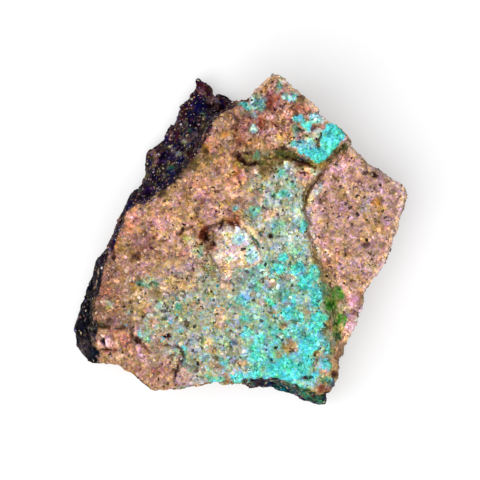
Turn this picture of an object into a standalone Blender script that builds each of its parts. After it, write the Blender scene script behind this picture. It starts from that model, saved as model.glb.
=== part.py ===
"""Ajoite specimen: a broken slab of granular matrix rock that carries a blue-green ajoite crust.

The slab is one natural piece and lies on its back with its crusted face up. +Z is up, +Y runs
from the specimen's lower edge to its two peaks, and the origin is on the resting surface under
the middle of the bounding box. Numbers are millimetres; the mesh is in metres.

The rock starts as a prism on the specimen's outline. A voxel remesh gives it an even skin, whose
points are moved onto the broken face, the dark flanks and the rough back. A second remesh evens
the skin again, and swells and fracture facets then rough it along its normals.
"""

import math

import bmesh
import bpy
import numpy as np
from mathutils import Matrix, Vector, noise

MM = 0.001
SORT_STEP = 0.001 * MM

# Driving dimensions
FACE_HEIGHT = 15.6  # the middle plate above the resting surface
PRISM_HEIGHT = 16.0  # the blank that the rock is worked from
SKIN_PITCH = 0.72  # spacing of the skin's points before the flat stretches are thinned
SKIN_KEPT = 0.32  # share of the skin's triangles that the finished rock keeps
LEAN_DEG = 6.0  # how far the walls lean towards the upper right, from the face to the base
LEAN_HEADING_DEG = 45.0  # the lean's heading, from +X towards +Y
BRINK_GROWTH = 0.32  # what the outline is grown by, as the skin rounds its brinks off by as much
SPREAD = 0.0026  # growth of the plan for each mm below the face, as a share
FOOT_CUT = 1.1  # thickness taken off the back's high spots to leave the flat foot

# The outline of the specimen, seen square to its face, clockwise from the notch between its peaks.
NOTCH = (-0.5, 22.4)
UPPER_RIGHT_EDGE = [
    (0.8, 22.6), (2.1, 23.7), (4.4, 26.0), (5.6, 26.9), (6.6, 26.2), (7.7, 24.6), (9.4, 23.5), (12.6, 20.8),
    (14.6, 18.9), (16.5, 17.8), (17.6, 16.3), (18.1, 14.7), (19.4, 13.3), (22.7, 11.2), (26.1, 8.6), (26.7, 7.4),
]
LOWER_RIGHT_EDGE = [
    (26.2, 5.4), (24.8, 1.4), (24.2, -1.0), (22.4, -5.0), (20.6, -6.6), (19.8, -8.2), (20.3, -9.3), (19.5, -11.0),
    (18.4, -12.6), (17.9, -14.6), (16.2, -16.6), (15.8, -19.2), (15.8, -21.6), (15.0, -23.4), (14.0, -24.8),
]
UNDERCUT_EDGE = [
    (13.7, -26.2), (12.0, -26.5), (10.9, -25.5), (9.0, -24.6), (7.0, -23.7), (4.8, -23.2), (1.6, -23.4), (0.5, -22.7),
]
LOWER_EDGE = [
    (-2.4, -22.6), (-5.6, -22.9), (-8.0, -23.4), (-11.2, -23.5), (-13.3, -24.5), (-15.0, -22.8), (-16.5, -21.4),
    (-17.9, -20.3), (-20.0, -19.6), (-21.8, -19.3),
]
LEFT_EDGE = [
    (-23.2, -20.0), (-24.6, -18.7), (-25.9, -17.0), (-26.7, -15.0), (-26.5, -13.1), (-25.6, -10.9), (-24.8, -8.0),
    (-23.8, -5.1), (-22.9, -2.6), (-21.3, -1.0), (-19.4, 3.7), (-16.8, 8.0), (-15.7, 9.6), (-15.4, 13.6),
    (-14.4, 14.7), (-12.8, 15.5), (-10.6, 18.6), (-9.9, 20.5), (-9.3, 21.6), (-8.2, 22.2), (-7.8, 23.5),
    (-7.1, 24.5), (-7.0, 26.2), (-6.5, 26.9), (-5.5, 25.0), (-4.0, 23.7), (-2.2, 22.7),
]
OUTLINE = [NOTCH, *UPPER_RIGHT_EDGE, *LOWER_RIGHT_EDGE, *UNDERCUT_EDGE, *LOWER_EDGE, *LEFT_EDGE]

# Where the bright face breaks off into the dark flanks.
LEFT_RIM = [
    (-0.6, 21.8), (-2.9, 20.5), (-4.3, 19.4), (-5.3, 17.6), (-5.9, 15.2), (-7.4, 13.1), (-9.0, 10.9), (-10.9, 8.8),
    (-12.8, 7.2), (-14.7, 6.2), (-17.0, 5.8), (-18.2, 4.2), (-19.4, 1.9), (-20.3, -0.3), (-21.4, -2.6),
    (-22.4, -4.8), (-23.0, -7.7), (-23.4, -10.4), (-23.5, -13.6), (-23.2, -16.8), (-22.4, -19.2),
]
LOWER_RIM = [(0.5, -22.6), (2.6, -22.1), (4.8, -21.9), (7.0, -22.4), (9.3, -23.4), (11.5, -24.2), (13.9, -24.7)]
PAST_LEFT_RIM = [(-22.6, -30.0), (-45.0, -30.0), (-45.0, 40.0), (-0.5, 40.0)]  # closes each rim past the rock
PAST_LOWER_RIM = [(14.4, -35.0), (0.2, -35.0)]
LEFT_FLANK_FOOT = 4.6  # height of the left flank where it meets the outline
LOWER_FLANK_FOOT = 6.5
FLANK_BRINK = 0.5  # share of a flank's fall that is taken in its first, steep third

# The plates of the broken face. Each runs past the outline, and only its inner boundary shows.
UPPER_BLOCK = [
    (-4.5, 17.9), (-2.9, 16.0), (-1.3, 14.6), (0.8, 14.1), (3.5, 14.6), (6.4, 14.7), (8.3, 13.9), (9.9, 13.3),
    (11.5, 12.6), (12.8, 12.5), (13.8, 13.4), (15.0, 14.6), (16.8, 16.0), (19.5, 17.5), (14.0, 24.0), (6.0, 29.0),
    (-1.0, 25.0), (-5.0, 20.5),
]
RIGHT_SLAB = [
    (19.5, 17.5), (16.8, 15.8), (15.0, 14.4), (13.6, 13.1), (12.6, 11.8), (12.2, 10.2), (11.0, 8.8), (10.4, 7.2),
    (10.2, 5.1), (10.6, 2.9), (11.0, 0.6), (11.5, -1.6), (12.2, -3.5), (12.6, -5.6), (13.0, -8.0), (13.1, -11.2),
    (13.3, -13.6), (12.8, -16.0), (11.8, -17.9), (11.5, -20.2), (10.3, -21.8), (11.5, -23.6), (16.0, -28.0),
    (30.0, -22.0), (32.0, 10.0),
]
LOWER_LOBE = [
    (-24.0, -14.4), (-21.9, -14.6), (-19.2, -14.9), (-17.1, -14.6), (-16.2, -16.2), (-14.7, -17.1), (-12.5, -17.4),
    (-10.2, -17.0), (-9.1, -18.1), (-9.0, -19.5), (-9.9, -21.1), (-9.3, -26.0), (-14.0, -29.0), (-28.0, -24.0),
    (-30.0, -14.4),
]
BREAK_OUT = [
    (-5.6, 2.3), (-4.3, 2.9), (-2.9, 3.6), (-1.3, 3.1), (0.5, 2.1), (1.9, 0.6), (3.0, -1.3), (3.7, -3.5),
    (2.4, -5.1), (0.0, -6.7), (-2.4, -7.5), (-3.8, -6.4), (-4.6, -4.2), (-5.1, -1.6), (-6.7, 0.0), (-6.7, 1.6),
]
BREAK_OUT_DEEP_END = (-5.0, 3.0)
BREAK_OUT_SHALLOW_END = (1.0, -7.0)

BLOCK_RISE, BLOCK_RISE_LEFT = 2.1, 0.3  # the upper block stands proud, most at its crusted right end
BLOCK_WALL = 1.3
SLAB_DROP, CORNER_DROP = 2.5, 1.3  # the right slab and the lower right corner lie deeper
SLAB_WALL, GREEN_SLOPE = 0.8, 3.0  # the step is steep above, and a broad slope below
LOBE_DROP, LOBE_WALL = 1.1, 0.7
BREAK_OUT_DEPTH, BREAK_OUT_WALL = 2.0, 0.8
LIP_RISE, LIP_REACH = 0.5, 1.0  # the proud lip round the break-out's upper right side
SHOULDER_DROP, SHOULDER_REACH = 1.2, 5.0  # the face rolls off towards the lower left flank
SLAB_TILT = (-0.035, -0.01)  # rise of the right slab for each mm in X and in Y

# The plainer outline of the back, which the walls work down to.
BACK_OUTLINE = [
    (-0.5, 22.0), (5.4, 24.2), (13.2, 17.4), (21.5, 9.5), (24.4, 4.5), (20.3, -4.0), (18.6, -9.0), (13.9, -23.2),
    (3.0, -20.4), (-9.5, -22.0), (-19.5, -16.8), (-24.0, -12.5), (-19.6, -1.5), (-14.2, 11.5), (-7.6, 21.6),
]
WALL_FALL = 8.0  # depth below the brink where a wall has come in to the back's outline
BACK_HIGH, BACK_CROWN = 2.6, 3.2  # the back's roughness, and how far its margins turn up
FOOT_RADIUS = 8.0  # the middle of the back, which the flat of the foot is cut from

SWELL = (0.45, 13.0)  # height and width of the broad swells
FACE_FACETS = (0.5, 4.2)  # height and width of the facets that the face is broken into
FACE_LUMPS = (0.3, 1.9)
WALL_FACETS = (1.3, 7.5)
WALL_CHIPS = (0.4, 3.0)
BRINK_KEPT = 3.5  # depth below the brink where the walls' facets come to their full height
FLANK_SHARE = 0.6  # share of the walls' facets that the flanks take, as their feet are on the outline
FACET_TILT = 1.3
SEED_SHIFT = Vector((31.7, -12.4, 8.9))  # where in the noise the rock is cut from
TILT_SHIFTS = (Vector((5.2, 1.3, 0.4)), Vector((11.9, 7.7, 2.6)), Vector((17.3, 3.8, 9.1)))

ROCK_COLOUR = (0.47, 0.32, 0.25, 1.0)


def eased(low, high, value):
    """0 below low and 1 above high, with a smooth climb between."""
    share = np.clip((value - low) / (high - low), 0.0, 1.0)
    return share * share * (3.0 - 2.0 * share)


def path_distance(points, path, closed=False):
    """Distance of each point from a path of straight runs."""
    corners = np.array(path, float)
    starts = corners if closed else corners[:-1]
    runs = (np.roll(corners, -1, axis=0) if closed else corners[1:]) - starts
    away = points[:, None, :] - starts
    share = np.clip((away * runs).sum(axis=2) / (runs**2).sum(axis=1), 0.0, 1.0)
    return np.linalg.norm(away - share[..., None] * runs, axis=2).min(axis=1)


def depth_inside(points, outline):
    """Distance of each point from a closed outline: positive inside, negative outside."""
    corners = np.array(outline, float)
    after = np.roll(corners, -1, axis=0)
    x, y = points[:, :1], points[:, 1:]
    straddles = (corners[:, 1] > y) != (after[:, 1] > y)
    rise = np.where(after[:, 1] == corners[:, 1], 1.0, after[:, 1] - corners[:, 1])
    crossing = corners[:, 0] + (y - corners[:, 1]) * (after[:, 0] - corners[:, 0]) / rise
    inside = (straddles & (x < crossing)).sum(axis=1) % 2 == 1
    return path_distance(points, outline, closed=True) * np.where(inside, 1.0, -1.0)


def swell(places, width):
    """Smooth noise from -1 to 1, one swell to each width."""
    return np.array([noise.noise(Vector(p) / width + SEED_SHIFT) for p in places])


def facets(places, width):
    """Broken facets from about -1 to 1: each cell of the noise is a plane with its own height and tilt."""
    made = []
    for place in places:
        spot = Vector(place) / width + SEED_SHIFT
        cell = noise.voronoi(spot)[1][0]
        tilt = Vector([noise.noise(cell * 3.1 + shift) for shift in TILT_SHIFTS])
        made.append(noise.noise(cell * 3.1) + FACET_TILT * (spot - cell).dot(tilt))
    return np.array(made)


def reach(points, outline):
    """Distance from the origin to the outline, on the bearing of each point."""
    corners = np.array(outline, float)
    runs = np.roll(corners, -1, axis=0) - corners
    bearing = points / np.maximum(radius(points), 1e-6)[:, None]
    across = bearing[:, :1] * runs[:, 1] - bearing[:, 1:] * runs[:, 0]
    across = np.where(np.abs(across) < 1e-9, 1e-9, across)
    along = (corners[:, 0] * bearing[:, 1:] - corners[:, 1] * bearing[:, :1]) / across
    away = (corners[:, 0] * runs[:, 1] - corners[:, 1] * runs[:, 0]) / across
    return np.where((along >= 0.0) & (along <= 1.0) & (away > 0.0), away, 0.0).max(axis=1)


def radius(points):
    """Distance of each point from the origin."""
    return np.linalg.norm(points, axis=1)


def flank_fall(points, rim, edge):
    """0 on the rim and 1 on the outline's edge, quick at first and then even."""
    from_rim = path_distance(points, rim)
    from_edge = path_distance(points, edge)
    share = from_rim / np.maximum(from_rim + from_edge, 1e-6)
    return FLANK_BRINK * eased(0.0, 0.35, share) + (1.0 - FLANK_BRINK) * share


def face_height(points):
    """Height of the broken upper surface over each point of the outline's plan."""
    x, y = points[:, 0], points[:, 1]
    height = np.full(len(points), FACE_HEIGHT)

    block_rise = BLOCK_RISE_LEFT + (BLOCK_RISE - BLOCK_RISE_LEFT) * eased(-4.0, 8.0, x)
    height += block_rise * eased(-BLOCK_WALL, 0.0, depth_inside(points, UPPER_BLOCK))

    slab_drop = CORNER_DROP + (SLAB_DROP - CORNER_DROP) * eased(-18.0, -15.0, y)
    slab_drop -= SLAB_TILT[0] * (x - 18.0) + SLAB_TILT[1] * y
    slab_wall = GREEN_SLOPE + (SLAB_WALL - GREEN_SLOPE) * eased(-9.5, -5.0, y)
    height -= slab_drop * eased(0.0, 1.0, depth_inside(points, RIGHT_SLAB) / slab_wall)

    height -= LOBE_DROP * eased(0.0, LOBE_WALL, depth_inside(points, LOWER_LOBE))

    shoulder = eased(SHOULDER_REACH, 0.0, path_distance(points, LEFT_RIM))
    height -= SHOULDER_DROP * shoulder * eased(2.0, -6.0, y)

    hollow = depth_inside(points, BREAK_OUT)
    axis = np.subtract(BREAK_OUT_SHALLOW_END, BREAK_OUT_DEEP_END)
    along = (points - BREAK_OUT_DEEP_END) @ axis / (axis @ axis)
    depth = BREAK_OUT_DEPTH * (1.0 - 0.85 * np.clip(along, 0.0, 1.0))
    height -= depth * eased(0.0, BREAK_OUT_WALL, hollow)
    lip = eased(-LIP_REACH, 0.0, hollow) * (hollow < 0.0) * eased(-1.5, 1.5, x + y)
    return height + LIP_RISE * lip


def top_height(points):
    """Height of everything that looks up: the face, and the flanks that fall from it."""
    height = face_height(points)
    flanks = (
        (LEFT_RIM, PAST_LEFT_RIM, [LOWER_EDGE[-1], *LEFT_EDGE, NOTCH], LEFT_FLANK_FOOT),
        (LOWER_RIM, PAST_LOWER_RIM, [LOWER_RIGHT_EDGE[-1], *UNDERCUT_EDGE], LOWER_FLANK_FOOT),
    )
    for rim, past, edge, foot in flanks:
        on_flank = depth_inside(points, [*rim, *past]) > 0.0
        fall = flank_fall(points, rim, edge)
        height = np.where(on_flank, height + (foot - height) * fall, height)
    return height


def back_height(points):
    """Height of the rough back, whose margins turn up and whose middle bears on the foot."""
    places = np.column_stack([points, np.zeros(len(points))])
    rough = BACK_HIGH * np.clip(facets(places, WALL_FACETS[1]) + 0.25, -0.4, 1.0)
    margin = eased(7.0, 0.0, path_distance(points, OUTLINE, closed=True))
    return rough * eased(0.8 * FOOT_RADIUS, 1.3 * FOOT_RADIUS, radius(points)) + BACK_CROWN * margin


def shaped(points):
    """The prism's skin moved onto the rock."""
    plan, share = points[:, :2], points[:, 2] / PRISM_HEIGHT
    top, back = top_height(plan), back_height(plan)
    height = back + share * (top - back)
    depth = np.maximum(top - height, 0.0)

    edge = reach(plan, OUTLINE)
    narrowed = reach(plan, BACK_OUTLINE) / edge
    narrowed = 1.0 + (narrowed - 1.0) * eased(0.0, WALL_FALL, depth)
    spread = 1.0 + SPREAD * (FACE_HEIGHT - height) + BRINK_GROWTH / edge
    plan = plan * (narrowed * spread)[:, None]

    lean = (FACE_HEIGHT - height) * math.tan(math.radians(LEAN_DEG))
    heading = math.radians(LEAN_HEADING_DEG)
    plan = plan + lean[:, None] * (math.cos(heading), math.sin(heading))
    return np.column_stack([plan, height])


def new_object(name, data, collection):
    """A new object of this mesh or curve, linked to the collection."""
    made = bpy.data.objects.new(name, data)
    collection.objects.link(made)
    return made


def rank(place):
    """One number for a place, so that the parts of a mesh can be put in a fixed order."""
    x, y, z = (round(value / SORT_STEP) for value in place)
    return (z * 1e5 + y) * 1e5 + x


def mesh_of(obj):
    """The object's mesh with its modifiers applied, its caps welded and its parts in a fixed order."""
    graph = bpy.context.evaluated_depsgraph_get()
    mesh = bpy.data.meshes.new_from_object(obj.evaluated_get(graph))
    work = bmesh.new()
    work.from_mesh(mesh)
    bmesh.ops.remove_doubles(work, verts=work.verts, dist=0.01 * MM)
    work.verts.sort(key=lambda vert: rank(vert.co))
    work.edges.sort(key=lambda edge: rank(edge.verts[0].co + edge.verts[1].co))
    work.faces.sort(key=lambda face: rank(face.calc_center_median()))
    work.to_mesh(mesh)
    work.free()
    return mesh


def prism(collection):
    """The blank: the specimen's outline, extruded to its full height."""
    curve = bpy.data.curves.new("blank", "CURVE")
    curve.dimensions = "2D"
    curve.fill_mode = "BOTH"
    curve.extrude = PRISM_HEIGHT * MM / 2.0
    spline = curve.splines.new("POLY")
    spline.points.add(len(OUTLINE) - 1)
    spline.use_cyclic_u = True
    for point, (x, y) in zip(spline.points, OUTLINE):
        point.co = (x * MM, y * MM, 0.0, 1.0)
    blank = new_object("blank", curve, collection)
    mesh = mesh_of(blank)
    mesh.transform(Matrix.Translation((0.0, 0.0, PRISM_HEIGHT * MM / 2.0)))
    bpy.data.objects.remove(blank)
    return mesh


def even_skin(mesh, collection):
    """The mesh with points a skin pitch apart all over."""
    skin = new_object("skin", mesh, collection)
    remesh = skin.modifiers.new("even_skin", "REMESH")
    remesh.mode = "VOXEL"
    remesh.voxel_size = SKIN_PITCH * MM
    even = mesh_of(skin)
    bpy.data.objects.remove(skin)
    return even


def skin_places(mesh):
    """Every point of the mesh, in millimetres."""
    places = np.empty(len(mesh.vertices) * 3)
    mesh.vertices.foreach_get("co", places)
    return places.reshape(-1, 3) / MM


def put_places(mesh, places):
    """Moves the mesh's points to these places, given in millimetres."""
    mesh.vertices.foreach_set("co", (places * MM).ravel())
    mesh.update()


def roughness(places, normals):
    """How far the fracture's swells, facets and chips move each point along its normal."""
    depth = FACE_HEIGHT - places[:, 2]
    steep = eased(0.35, 0.85, np.linalg.norm(normals[:, :2], axis=1))
    on_flank = eased(0.1, 0.5, -normals[:, 0]) * eased(-0.2, 0.1, normals[:, 2])
    wall = WALL_FACETS[0] * (facets(places, WALL_FACETS[1]) - 0.25 + 0.25 * on_flank)
    wall += WALL_CHIPS[0] * facets(places, WALL_CHIPS[1])
    wall *= eased(0.0, BRINK_KEPT, depth) * (1.0 - (1.0 - FLANK_SHARE) * on_flank)
    face = FACE_FACETS[0] * facets(places, FACE_FACETS[1]) + FACE_LUMPS[0] * swell(places, FACE_LUMPS[1])
    rise = steep * wall + (1.0 - steep) * face
    return rise + SWELL[0] * swell(places, SWELL[1]) * (1.0 - 0.7 * steep)


def broken(mesh):
    """Roughs the rock's skin along its normals."""
    places = skin_places(mesh)
    normals = np.empty(len(places) * 3)
    mesh.vertices.foreach_get("normal", normals)
    normals = normals.reshape(-1, 3)
    put_places(mesh, places + normals * roughness(places, normals)[:, None])
    return mesh


def foot_cutter(collection):
    """The box under the rock whose top is the plane of the flat foot."""
    bpy.ops.mesh.primitive_cube_add(size=80 * MM, location=(0.0, 0.0, (FOOT_CUT - 40.0) * MM))
    cutter = bpy.context.object
    cutter.name = "foot_cutter"
    for owner in list(cutter.users_collection):
        owner.objects.unlink(cutter)
    collection.objects.link(cutter)
    cutter.display_type = "WIRE"
    cutter.hide_render = True
    return cutter


def rock_material():
    """Granular pinkish matrix rock."""
    material = bpy.data.materials.new("matrix_rock")
    material.use_nodes = True
    shader = material.node_tree.nodes["Principled BSDF"]
    shader.inputs["Base Color"].default_value = ROCK_COLOUR
    shader.inputs["Roughness"].default_value = 0.75
    return material


def stood_on_origin(mesh):
    """Moves the mesh so that the origin is under the middle of its bounding box."""
    places = skin_places(mesh)
    low, high = places.min(axis=0), places.max(axis=0)
    shift = np.array([(low[0] + high[0]) / 2.0, (low[1] + high[1]) / 2.0, low[2]])
    put_places(mesh, places - shift)
    print("origin in the outline's own plan, mm:", np.round(shift, 3))


def ajoite_specimen():
    """Builds the specimen as one solid."""
    model = bpy.data.collections.new("ajoite_specimen")
    helpers = bpy.data.collections.new("cutters")
    for collection in (model, helpers):
        bpy.context.scene.collection.children.link(collection)

    blank = even_skin(prism(helpers), helpers)
    put_places(blank, shaped(skin_places(blank)))
    worked = new_object("worked", broken(even_skin(blank, helpers)), helpers)
    thin = worked.modifiers.new("thin_skin", "DECIMATE")
    thin.ratio = SKIN_KEPT
    foot = worked.modifiers.new("flat_foot", "BOOLEAN")
    foot.operation = "DIFFERENCE"
    foot.object = foot_cutter(helpers)
    finished = mesh_of(worked)
    bpy.data.objects.remove(worked)
    stood_on_origin(finished)

    rock = new_object("ajoite_rock", finished, model)
    finished.materials.clear()
    finished.materials.append(rock_material())


for leftover in list(bpy.data.objects):
    bpy.data.objects.remove(leftover)
ajoite_specimen()
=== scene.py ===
"""Ajoite specimen: a slab of granular rock with its stains, its blue-green crust and its crystal grains.

Lengths in the classes below are millimetres. The meshes are in metres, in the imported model's own
frame: +Z up, the resting surface at zero.
"""

import logging
import math
from dataclasses import dataclass
from enum import Enum

import bmesh
import bpy
import numpy as np
from mathutils import Matrix, Vector, noise


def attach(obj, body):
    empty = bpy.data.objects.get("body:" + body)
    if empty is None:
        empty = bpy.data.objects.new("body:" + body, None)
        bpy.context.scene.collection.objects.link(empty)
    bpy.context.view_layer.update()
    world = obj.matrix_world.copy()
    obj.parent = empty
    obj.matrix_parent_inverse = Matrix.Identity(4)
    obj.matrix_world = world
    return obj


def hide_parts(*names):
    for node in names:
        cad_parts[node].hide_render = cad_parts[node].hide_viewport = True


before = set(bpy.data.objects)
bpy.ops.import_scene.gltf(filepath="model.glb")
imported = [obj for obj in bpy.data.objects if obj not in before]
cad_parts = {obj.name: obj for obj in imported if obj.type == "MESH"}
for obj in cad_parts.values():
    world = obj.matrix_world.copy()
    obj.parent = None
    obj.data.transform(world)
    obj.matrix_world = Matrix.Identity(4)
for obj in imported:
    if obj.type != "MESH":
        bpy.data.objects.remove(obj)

LOG = logging.getLogger("ajoite")
MM = 0.001
NODE = "ajoite_rock"
BODY = "root"
ROCK_SLOT = "matrix_rock"
CRUST_SLOT = "ajoite_crust"
COLOUR_LAYER = "skin_colour"

Plan = tuple[float, float]
Span = tuple[float, float]
Triple = tuple[float, float, float]
Palette = tuple[str, ...]
Stops = tuple[tuple[float, str], ...]
Tint = tuple[float, float, float, float]
Socket = bpy.types.NodeSocket
Sockets = bpy.types.NodeOutputs
WHITE: Tint = (1.0, 1.0, 1.0, 1.0)


# small tools


def eased(low: float, high: float, value: np.ndarray) -> np.ndarray:
    """A smooth climb between two values.

    Args:
        low: Where the result is 0.
        high: Where the result is 1. It may be below low.
        value: The numbers to ease.

    Returns:
        Numbers from 0 to 1.
    """
    share = np.clip((value - low) / (high - low), 0.0, 1.0)
    return share * share * (3.0 - 2.0 * share)


def path_distance(points: np.ndarray, path: tuple[Plan, ...], closed: bool = False) -> np.ndarray:
    """Distance of points from a path of straight runs.

    Args:
        points: One row for each point.
        path: The path's corners.
        closed: Whether the path returns to its first corner.

    Returns:
        One distance for each point.
    """
    corners = np.array(path, float)
    starts = corners if closed else corners[:-1]
    runs = (np.roll(corners, -1, axis=0) if closed else corners[1:]) - starts
    best = np.full(len(points), np.inf)
    for start, run in zip(starts, runs):
        away = points - start
        share = np.clip(away @ run / max(run @ run, 1e-9), 0.0, 1.0)
        best = np.minimum(best, np.linalg.norm(away - share[:, None] * run, axis=1))
    return best


def depth_inside(points: np.ndarray, outline: tuple[Plan, ...]) -> np.ndarray:
    """Distance of points from a closed outline, positive inside it and negative outside.

    Args:
        points: One row for each point.
        outline: The outline's corners.

    Returns:
        One signed distance for each point.
    """
    corners = np.array(outline, float)
    inside = np.zeros(len(points), bool)
    x, y = points[:, 0], points[:, 1]
    for (ax, ay), (bx, by) in zip(corners, np.roll(corners, -1, axis=0)):
        if ay == by:
            continue
        crossing = ax + (y - ay) * (bx - ax) / (by - ay)
        inside ^= ((ay > y) != (by > y)) & (x < crossing)
    return path_distance(points, outline, closed=True) * np.where(inside, 1.0, -1.0)


def swell(places: np.ndarray, width: float, turn: float = 0.0) -> np.ndarray:
    """Smooth noise through space.

    Args:
        places: Points in millimetres.
        width: Width of one swell.
        turn: A shift that picks another stretch of the noise.

    Returns:
        Numbers from about -1 to 1.
    """
    shift = Vector((turn, 3.7 - turn, 11.3 + 2.0 * turn))
    return np.array([noise.noise(Vector(place) + shift) for place in places / width])


def facets(places: np.ndarray, width: float, turn: float = 0.0) -> np.ndarray:
    """Broken facets: each cell of the noise is a plane with its own height and tilt.

    Args:
        places: Points in millimetres.
        width: Width of one facet.
        turn: A shift that picks another stretch of the noise.

    Returns:
        Numbers from about -1 to 1.
    """
    made = []
    shift = Vector((turn, 5.1 + turn, -turn))
    for place in places / width:
        spot = Vector(place) + shift
        cell = noise.voronoi(spot)[1][0]
        tilt = noise.cell_vector(cell * 7.1) - Vector((0.5, 0.5, 0.5))
        made.append(noise.noise(cell * 3.1) + 1.3 * (spot - cell).dot(tilt))
    return np.array(made)


def coded(code: str) -> np.ndarray:
    """The three parts, from 0 to 1, of a six-digit web colour."""
    return np.array([int(code[at : at + 2], 16) / 255.0 for at in (0, 2, 4)])


def linear(shown: np.ndarray) -> np.ndarray:
    """Web colour values as linear light."""
    shown = np.clip(shown, 0.0, 1.0)
    return np.where(shown <= 0.04045, shown / 12.92, ((shown + 0.055) / 1.055) ** 2.4)


def laid(under: np.ndarray, over: np.ndarray, amount: np.ndarray) -> np.ndarray:
    """One set of colours laid over another by an amount at each point."""
    return under + (over - under) * amount[:, None]


@dataclass(frozen=True)
class Mottle:
    """Colours that drift through a palette from place to place, over a width in millimetres."""

    width: float
    turn: float
    palette: Palette

    def at(self, places: np.ndarray) -> np.ndarray:
        """One row of web colour values for each point."""
        level = 0.5 + swell(places, self.width, self.turn)
        level += 0.5 * swell(places, 0.42 * self.width, self.turn + 3.0)
        marks = np.linspace(0.0, 1.0, len(self.palette))
        parts = np.array([coded(code) for code in self.palette])
        return np.column_stack([np.interp(level, marks, parts[:, part]) for part in range(3)])


@dataclass(frozen=True)
class Ripple:
    """Noise of one height and one width in millimetres, on its own stretch of the noise."""

    height: float
    width: float
    turn: float

    def swells(self, places: np.ndarray) -> np.ndarray:
        """The ripple at each point, as smooth swells."""
        return self.height * swell(places, self.width, self.turn)

    def chips(self, places: np.ndarray, share: np.ndarray | float = 1.0) -> np.ndarray:
        """The ripple at each point, as broken facets, where each point takes its share of it."""
        return self.height * share * facets(places, self.width, self.turn)


@dataclass(frozen=True)
class Bloom:
    """Patches that lie wherever a smooth noise climbs from one level to another."""

    most: float
    width: float
    turn: float
    low: float
    high: float

    def amount(self, places: np.ndarray, share: np.ndarray | float = 1.0) -> np.ndarray:
        """How strongly the bloom shows at each point, where each point takes its share of it."""
        return self.most * share * eased(self.low, self.high, swell(places, self.width, self.turn))


# the face and what stains it


class Zone(Enum):
    """The amounts that the rock's skin carries, by the name of their attribute."""

    AJOITE = "ajoite"
    HAZE = "haze"
    RIND = "rind"
    HOLLOW = "hollow"


@dataclass(frozen=True)
class FacePlan:
    """The plane of the broken face, and the way each point of the rock is seen against it."""

    height: float = 15.6
    foot_cut: float = 1.1
    lean_deg: float = 6.0
    heading_deg: float = 45.0
    spread: float = 0.0026
    shift: Plan = (-0.048, 0.823)

    def spots(self, places: np.ndarray) -> np.ndarray:
        """Where points of the rock lie on the face's plan.

        Args:
            places: Points of the rock in millimetres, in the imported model's frame.

        Returns:
            Two numbers for each point: across and up the face.
        """
        below = self.height - self.foot_cut - places[:, 2]
        lean = below * math.tan(math.radians(self.lean_deg))
        heading = math.radians(self.heading_deg)
        plan = places[:, :2] + np.array(self.shift)
        plan = plan - lean[:, None] * (math.cos(heading), math.sin(heading))
        return plan / (1.0 + self.spread * below)[:, None]

    def centre(self) -> Vector:
        """The middle of the face, in metres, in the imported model's frame."""
        return Vector((-self.shift[0], -self.shift[1], self.height - self.foot_cut)) * MM


@dataclass(frozen=True)
class Patch:
    """A soft-edged oval on the face, round where it has no second radius. Its turn is in degrees.

    It fades out between the two numbers of `edge`, which count its radii.
    """

    x: float
    y: float
    across: float
    along: float = 0.0
    strength: float = 0.8
    turn: float = 0.0
    edge: Span = (1.35, 0.6)

    def amount(self, spots: np.ndarray) -> np.ndarray:
        """How strongly the patch shows at each spot of the face."""
        turn = math.radians(self.turn)
        turned = (spots - (self.x, self.y)) @ np.array(
            [[math.cos(turn), -math.sin(turn)], [math.sin(turn), math.cos(turn)]]
        )
        away = np.linalg.norm(turned / (self.across, self.along or self.across), axis=1)
        return self.strength * eased(*self.edge, away)


def ovals(*rows: tuple[float, ...]) -> tuple[Patch, ...]:
    """Patches from rows of their numbers."""
    return tuple(Patch(*row) for row in rows)


@dataclass(frozen=True)
class Field:
    """A soft-edged polygon on the face."""

    soft: float
    strength: float
    outline: tuple[Plan, ...]

    def amount(self, spots: np.ndarray) -> np.ndarray:
        """How strongly the field shows at each spot of the face."""
        return self.strength * eased(-self.soft, self.soft, depth_inside(spots, self.outline))


def strongest(parts: tuple[Patch | Field, ...], spots: np.ndarray) -> np.ndarray:
    """The most that any of the marks shows at each spot of the face."""
    return np.max([part.amount(spots) for part in parts], axis=0)


@dataclass(frozen=True)
class Crack:
    """A narrow groove along a path on the face, or a raised rim where its depth is below zero."""

    width: float
    depth: float
    # How strongly the crack's colour is laid; on the painted light edge, how strongly that light is painted.
    stain: float
    path: tuple[Plan, ...]

    def cut(self, spots: np.ndarray) -> np.ndarray:
        """How much of the groove's depth is cut at each spot of the face, from 0 to 1."""
        return np.exp(-((path_distance(spots, self.path) / self.width) ** 2))


@dataclass(frozen=True)
class Nudge:
    """A place where the broken edge stands a little to one side of the solid's."""

    x: float
    y: float
    reach: float
    right: float
    up: float

    def moves(self, spots: np.ndarray) -> np.ndarray:
        """How far the point of the rock at each spot moves."""
        near = np.exp(-(((spots - (self.x, self.y)) / self.reach) ** 2).sum(axis=1))
        return near[:, None] * (self.right, self.up, 0.0)


@dataclass(frozen=True)
class StainAndLight:
    """A colour laid over patches of the skin: mostly a stain soaked into them, in two cases painted light and
    painted sheen.
    """

    name: str
    colour: str
    parts: tuple[Patch, ...]
    on_walls: bool = False

    def over(self, shown: np.ndarray, spots: np.ndarray, level: np.ndarray, share: np.ndarray) -> np.ndarray:
        """Lays the stain over the skin's colours.

        Args:
            shown: The web colour values of each point.
            spots: Where the points lie on the face's plan.
            level: How level the skin is at each of them.
            share: The most of the colour under it that the stain hides at each of them.

        Returns:
            The colours with the stain over them.
        """
        most = share * strongest(self.parts, spots)
        return laid(shown, coded(self.colour), most if self.on_walls else most * level)


@dataclass(frozen=True)
class Cast:
    """Patches where the skin's colours are scaled: darker ones are painted shade, lighter ones painted light,
    and the rest yellower or bluer tints.
    """

    name: str
    gain: Triple
    parts: tuple[Patch, ...]

    def over(self, shown: np.ndarray, spots: np.ndarray) -> np.ndarray:
        """The colours with the cast over them."""
        return shown * (1.0 + strongest(self.parts, spots)[:, None] * (np.array(self.gain) - 1.0))
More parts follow.
